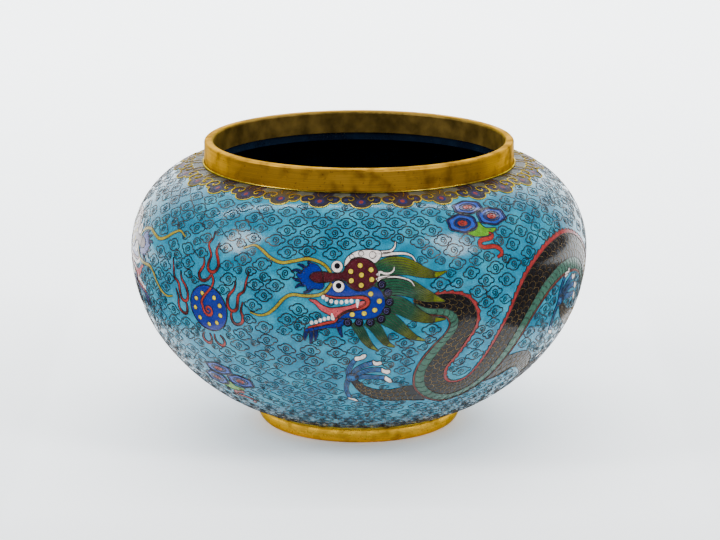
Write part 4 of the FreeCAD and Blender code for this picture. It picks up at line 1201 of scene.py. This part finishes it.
def pale_floor():
    """A floor that sweeps up into the backdrop; it glows a little to look evenly lit."""
    graph = Graph("pale_floor")
    tone = graph.ramp(graph.noise(3.0, 2.0), (0.3, shade(242, 246, 248)),
                      (0.7, shade(246, 249, 251)))
    graph.look({"Base Color": tone, "Roughness": 0.7, "Emission Color": (0.93, 0.97, 1.0, 1),
                "Emission Strength": 0.3})
    depth, reach, sweep = 1.6, 3.0, 0.7
    turn = np.linspace(0, math.pi / 2, 17)
    line = [(-2.5, 0.0)] + [(depth + sweep * math.sin(a), sweep * (1 - math.cos(a))) for a in turn]
    line.append((depth + sweep, 3.2))
    points = [(x, y, z) for y, z in line for x in (-reach, reach)]
    faces = [(i, i + 1, i + 3, i + 2) for i in range(0, len(points) - 2, 2)]
    floor = staged("backdrop", points, faces, graph.material)
    floor.data.polygons.foreach_set("use_smooth", [True] * len(faces))


def softbox(name, direction, distance, width, height, power):
    """A lamp at a distance in metres and a direction from the vase, turned towards it."""
    light = bpy.data.lights.new(name, "AREA")
    light.shape = "RECTANGLE"
    light.size = width
    light.size_y = height
    light.energy = power
    lamp = added(name, light)
    direction = Vector(direction).normalized()
    lamp.location = LAMP_AIM + direction * distance
    lamp.rotation_euler = direction.to_track_quat("Z", "Y").to_euler()
    return lamp


def black_flags():
    """Black cards round the front and the sides, seen only in the vase's reflections."""
    graph = Graph("black_cloth")
    graph.look({"Base Color": graph.ramp(graph.noise(1.5), (0.3, 0.06), (0.7, 0.09))})
    points = [(x, y, z) for x, y in FLAG_WALLS for z in (FLAG_LOW, FLAG_HIGH)]
    faces = [(i, i + 2, i + 3, i + 1) for i in range(0, len(points) - 2, 2)]
    for level, left, right, back, front in FLAG_LEVELS:
        first = len(points)
        points += [(left, back, level), (right, back, level), (right, front, level),
                   (left, front, level)]
        faces.append((first, first + 1, first + 2, first + 3))
    flags = staged("black_flags", points, faces, graph.material)
    flags.visible_camera = False
    flags.visible_diffuse = False
    flags.visible_shadow = False


pale_floor()
black_flags()
for side, direction in (("right", (0.645, -0.434, 0.632)), ("left", (-0.77, -0.265, 0.578))):
    softbox(f"softbox_{side}", direction, distance=1.5, width=0.34, height=0.6, power=15)
overhead = softbox("overhead", (0, -0.25, 1), distance=2.0, width=2.4, height=2.0, power=36)
overhead.visible_glossy = False
backlight = softbox("backdrop_light", (0, 0.35, 1), distance=1.7, width=3.0, height=0.5,
                    power=190)
backlight.rotation_euler = (math.radians(62), 0, 0)

world = bpy.data.worlds.new("soft_grey")
world.use_nodes = True
background = world.node_tree.nodes["Background"]
background.inputs["Color"].default_value = (*shade(236, 240, 244), 1)
background.inputs["Strength"].default_value = 0.8
bpy.context.scene.world = world

camera = bpy.data.cameras.new("camera")
camera.lens = 155.15
camera.sensor_width = 36
camera.shift_x = 0.0013
camera.clip_start = 0.05
viewer = added("camera", camera)
viewer.location = CAMERA_PLACE
viewer.rotation_euler = (math.radians(90 - CAMERA_TILT), 0, 0)
bpy.context.scene.camera = viewer
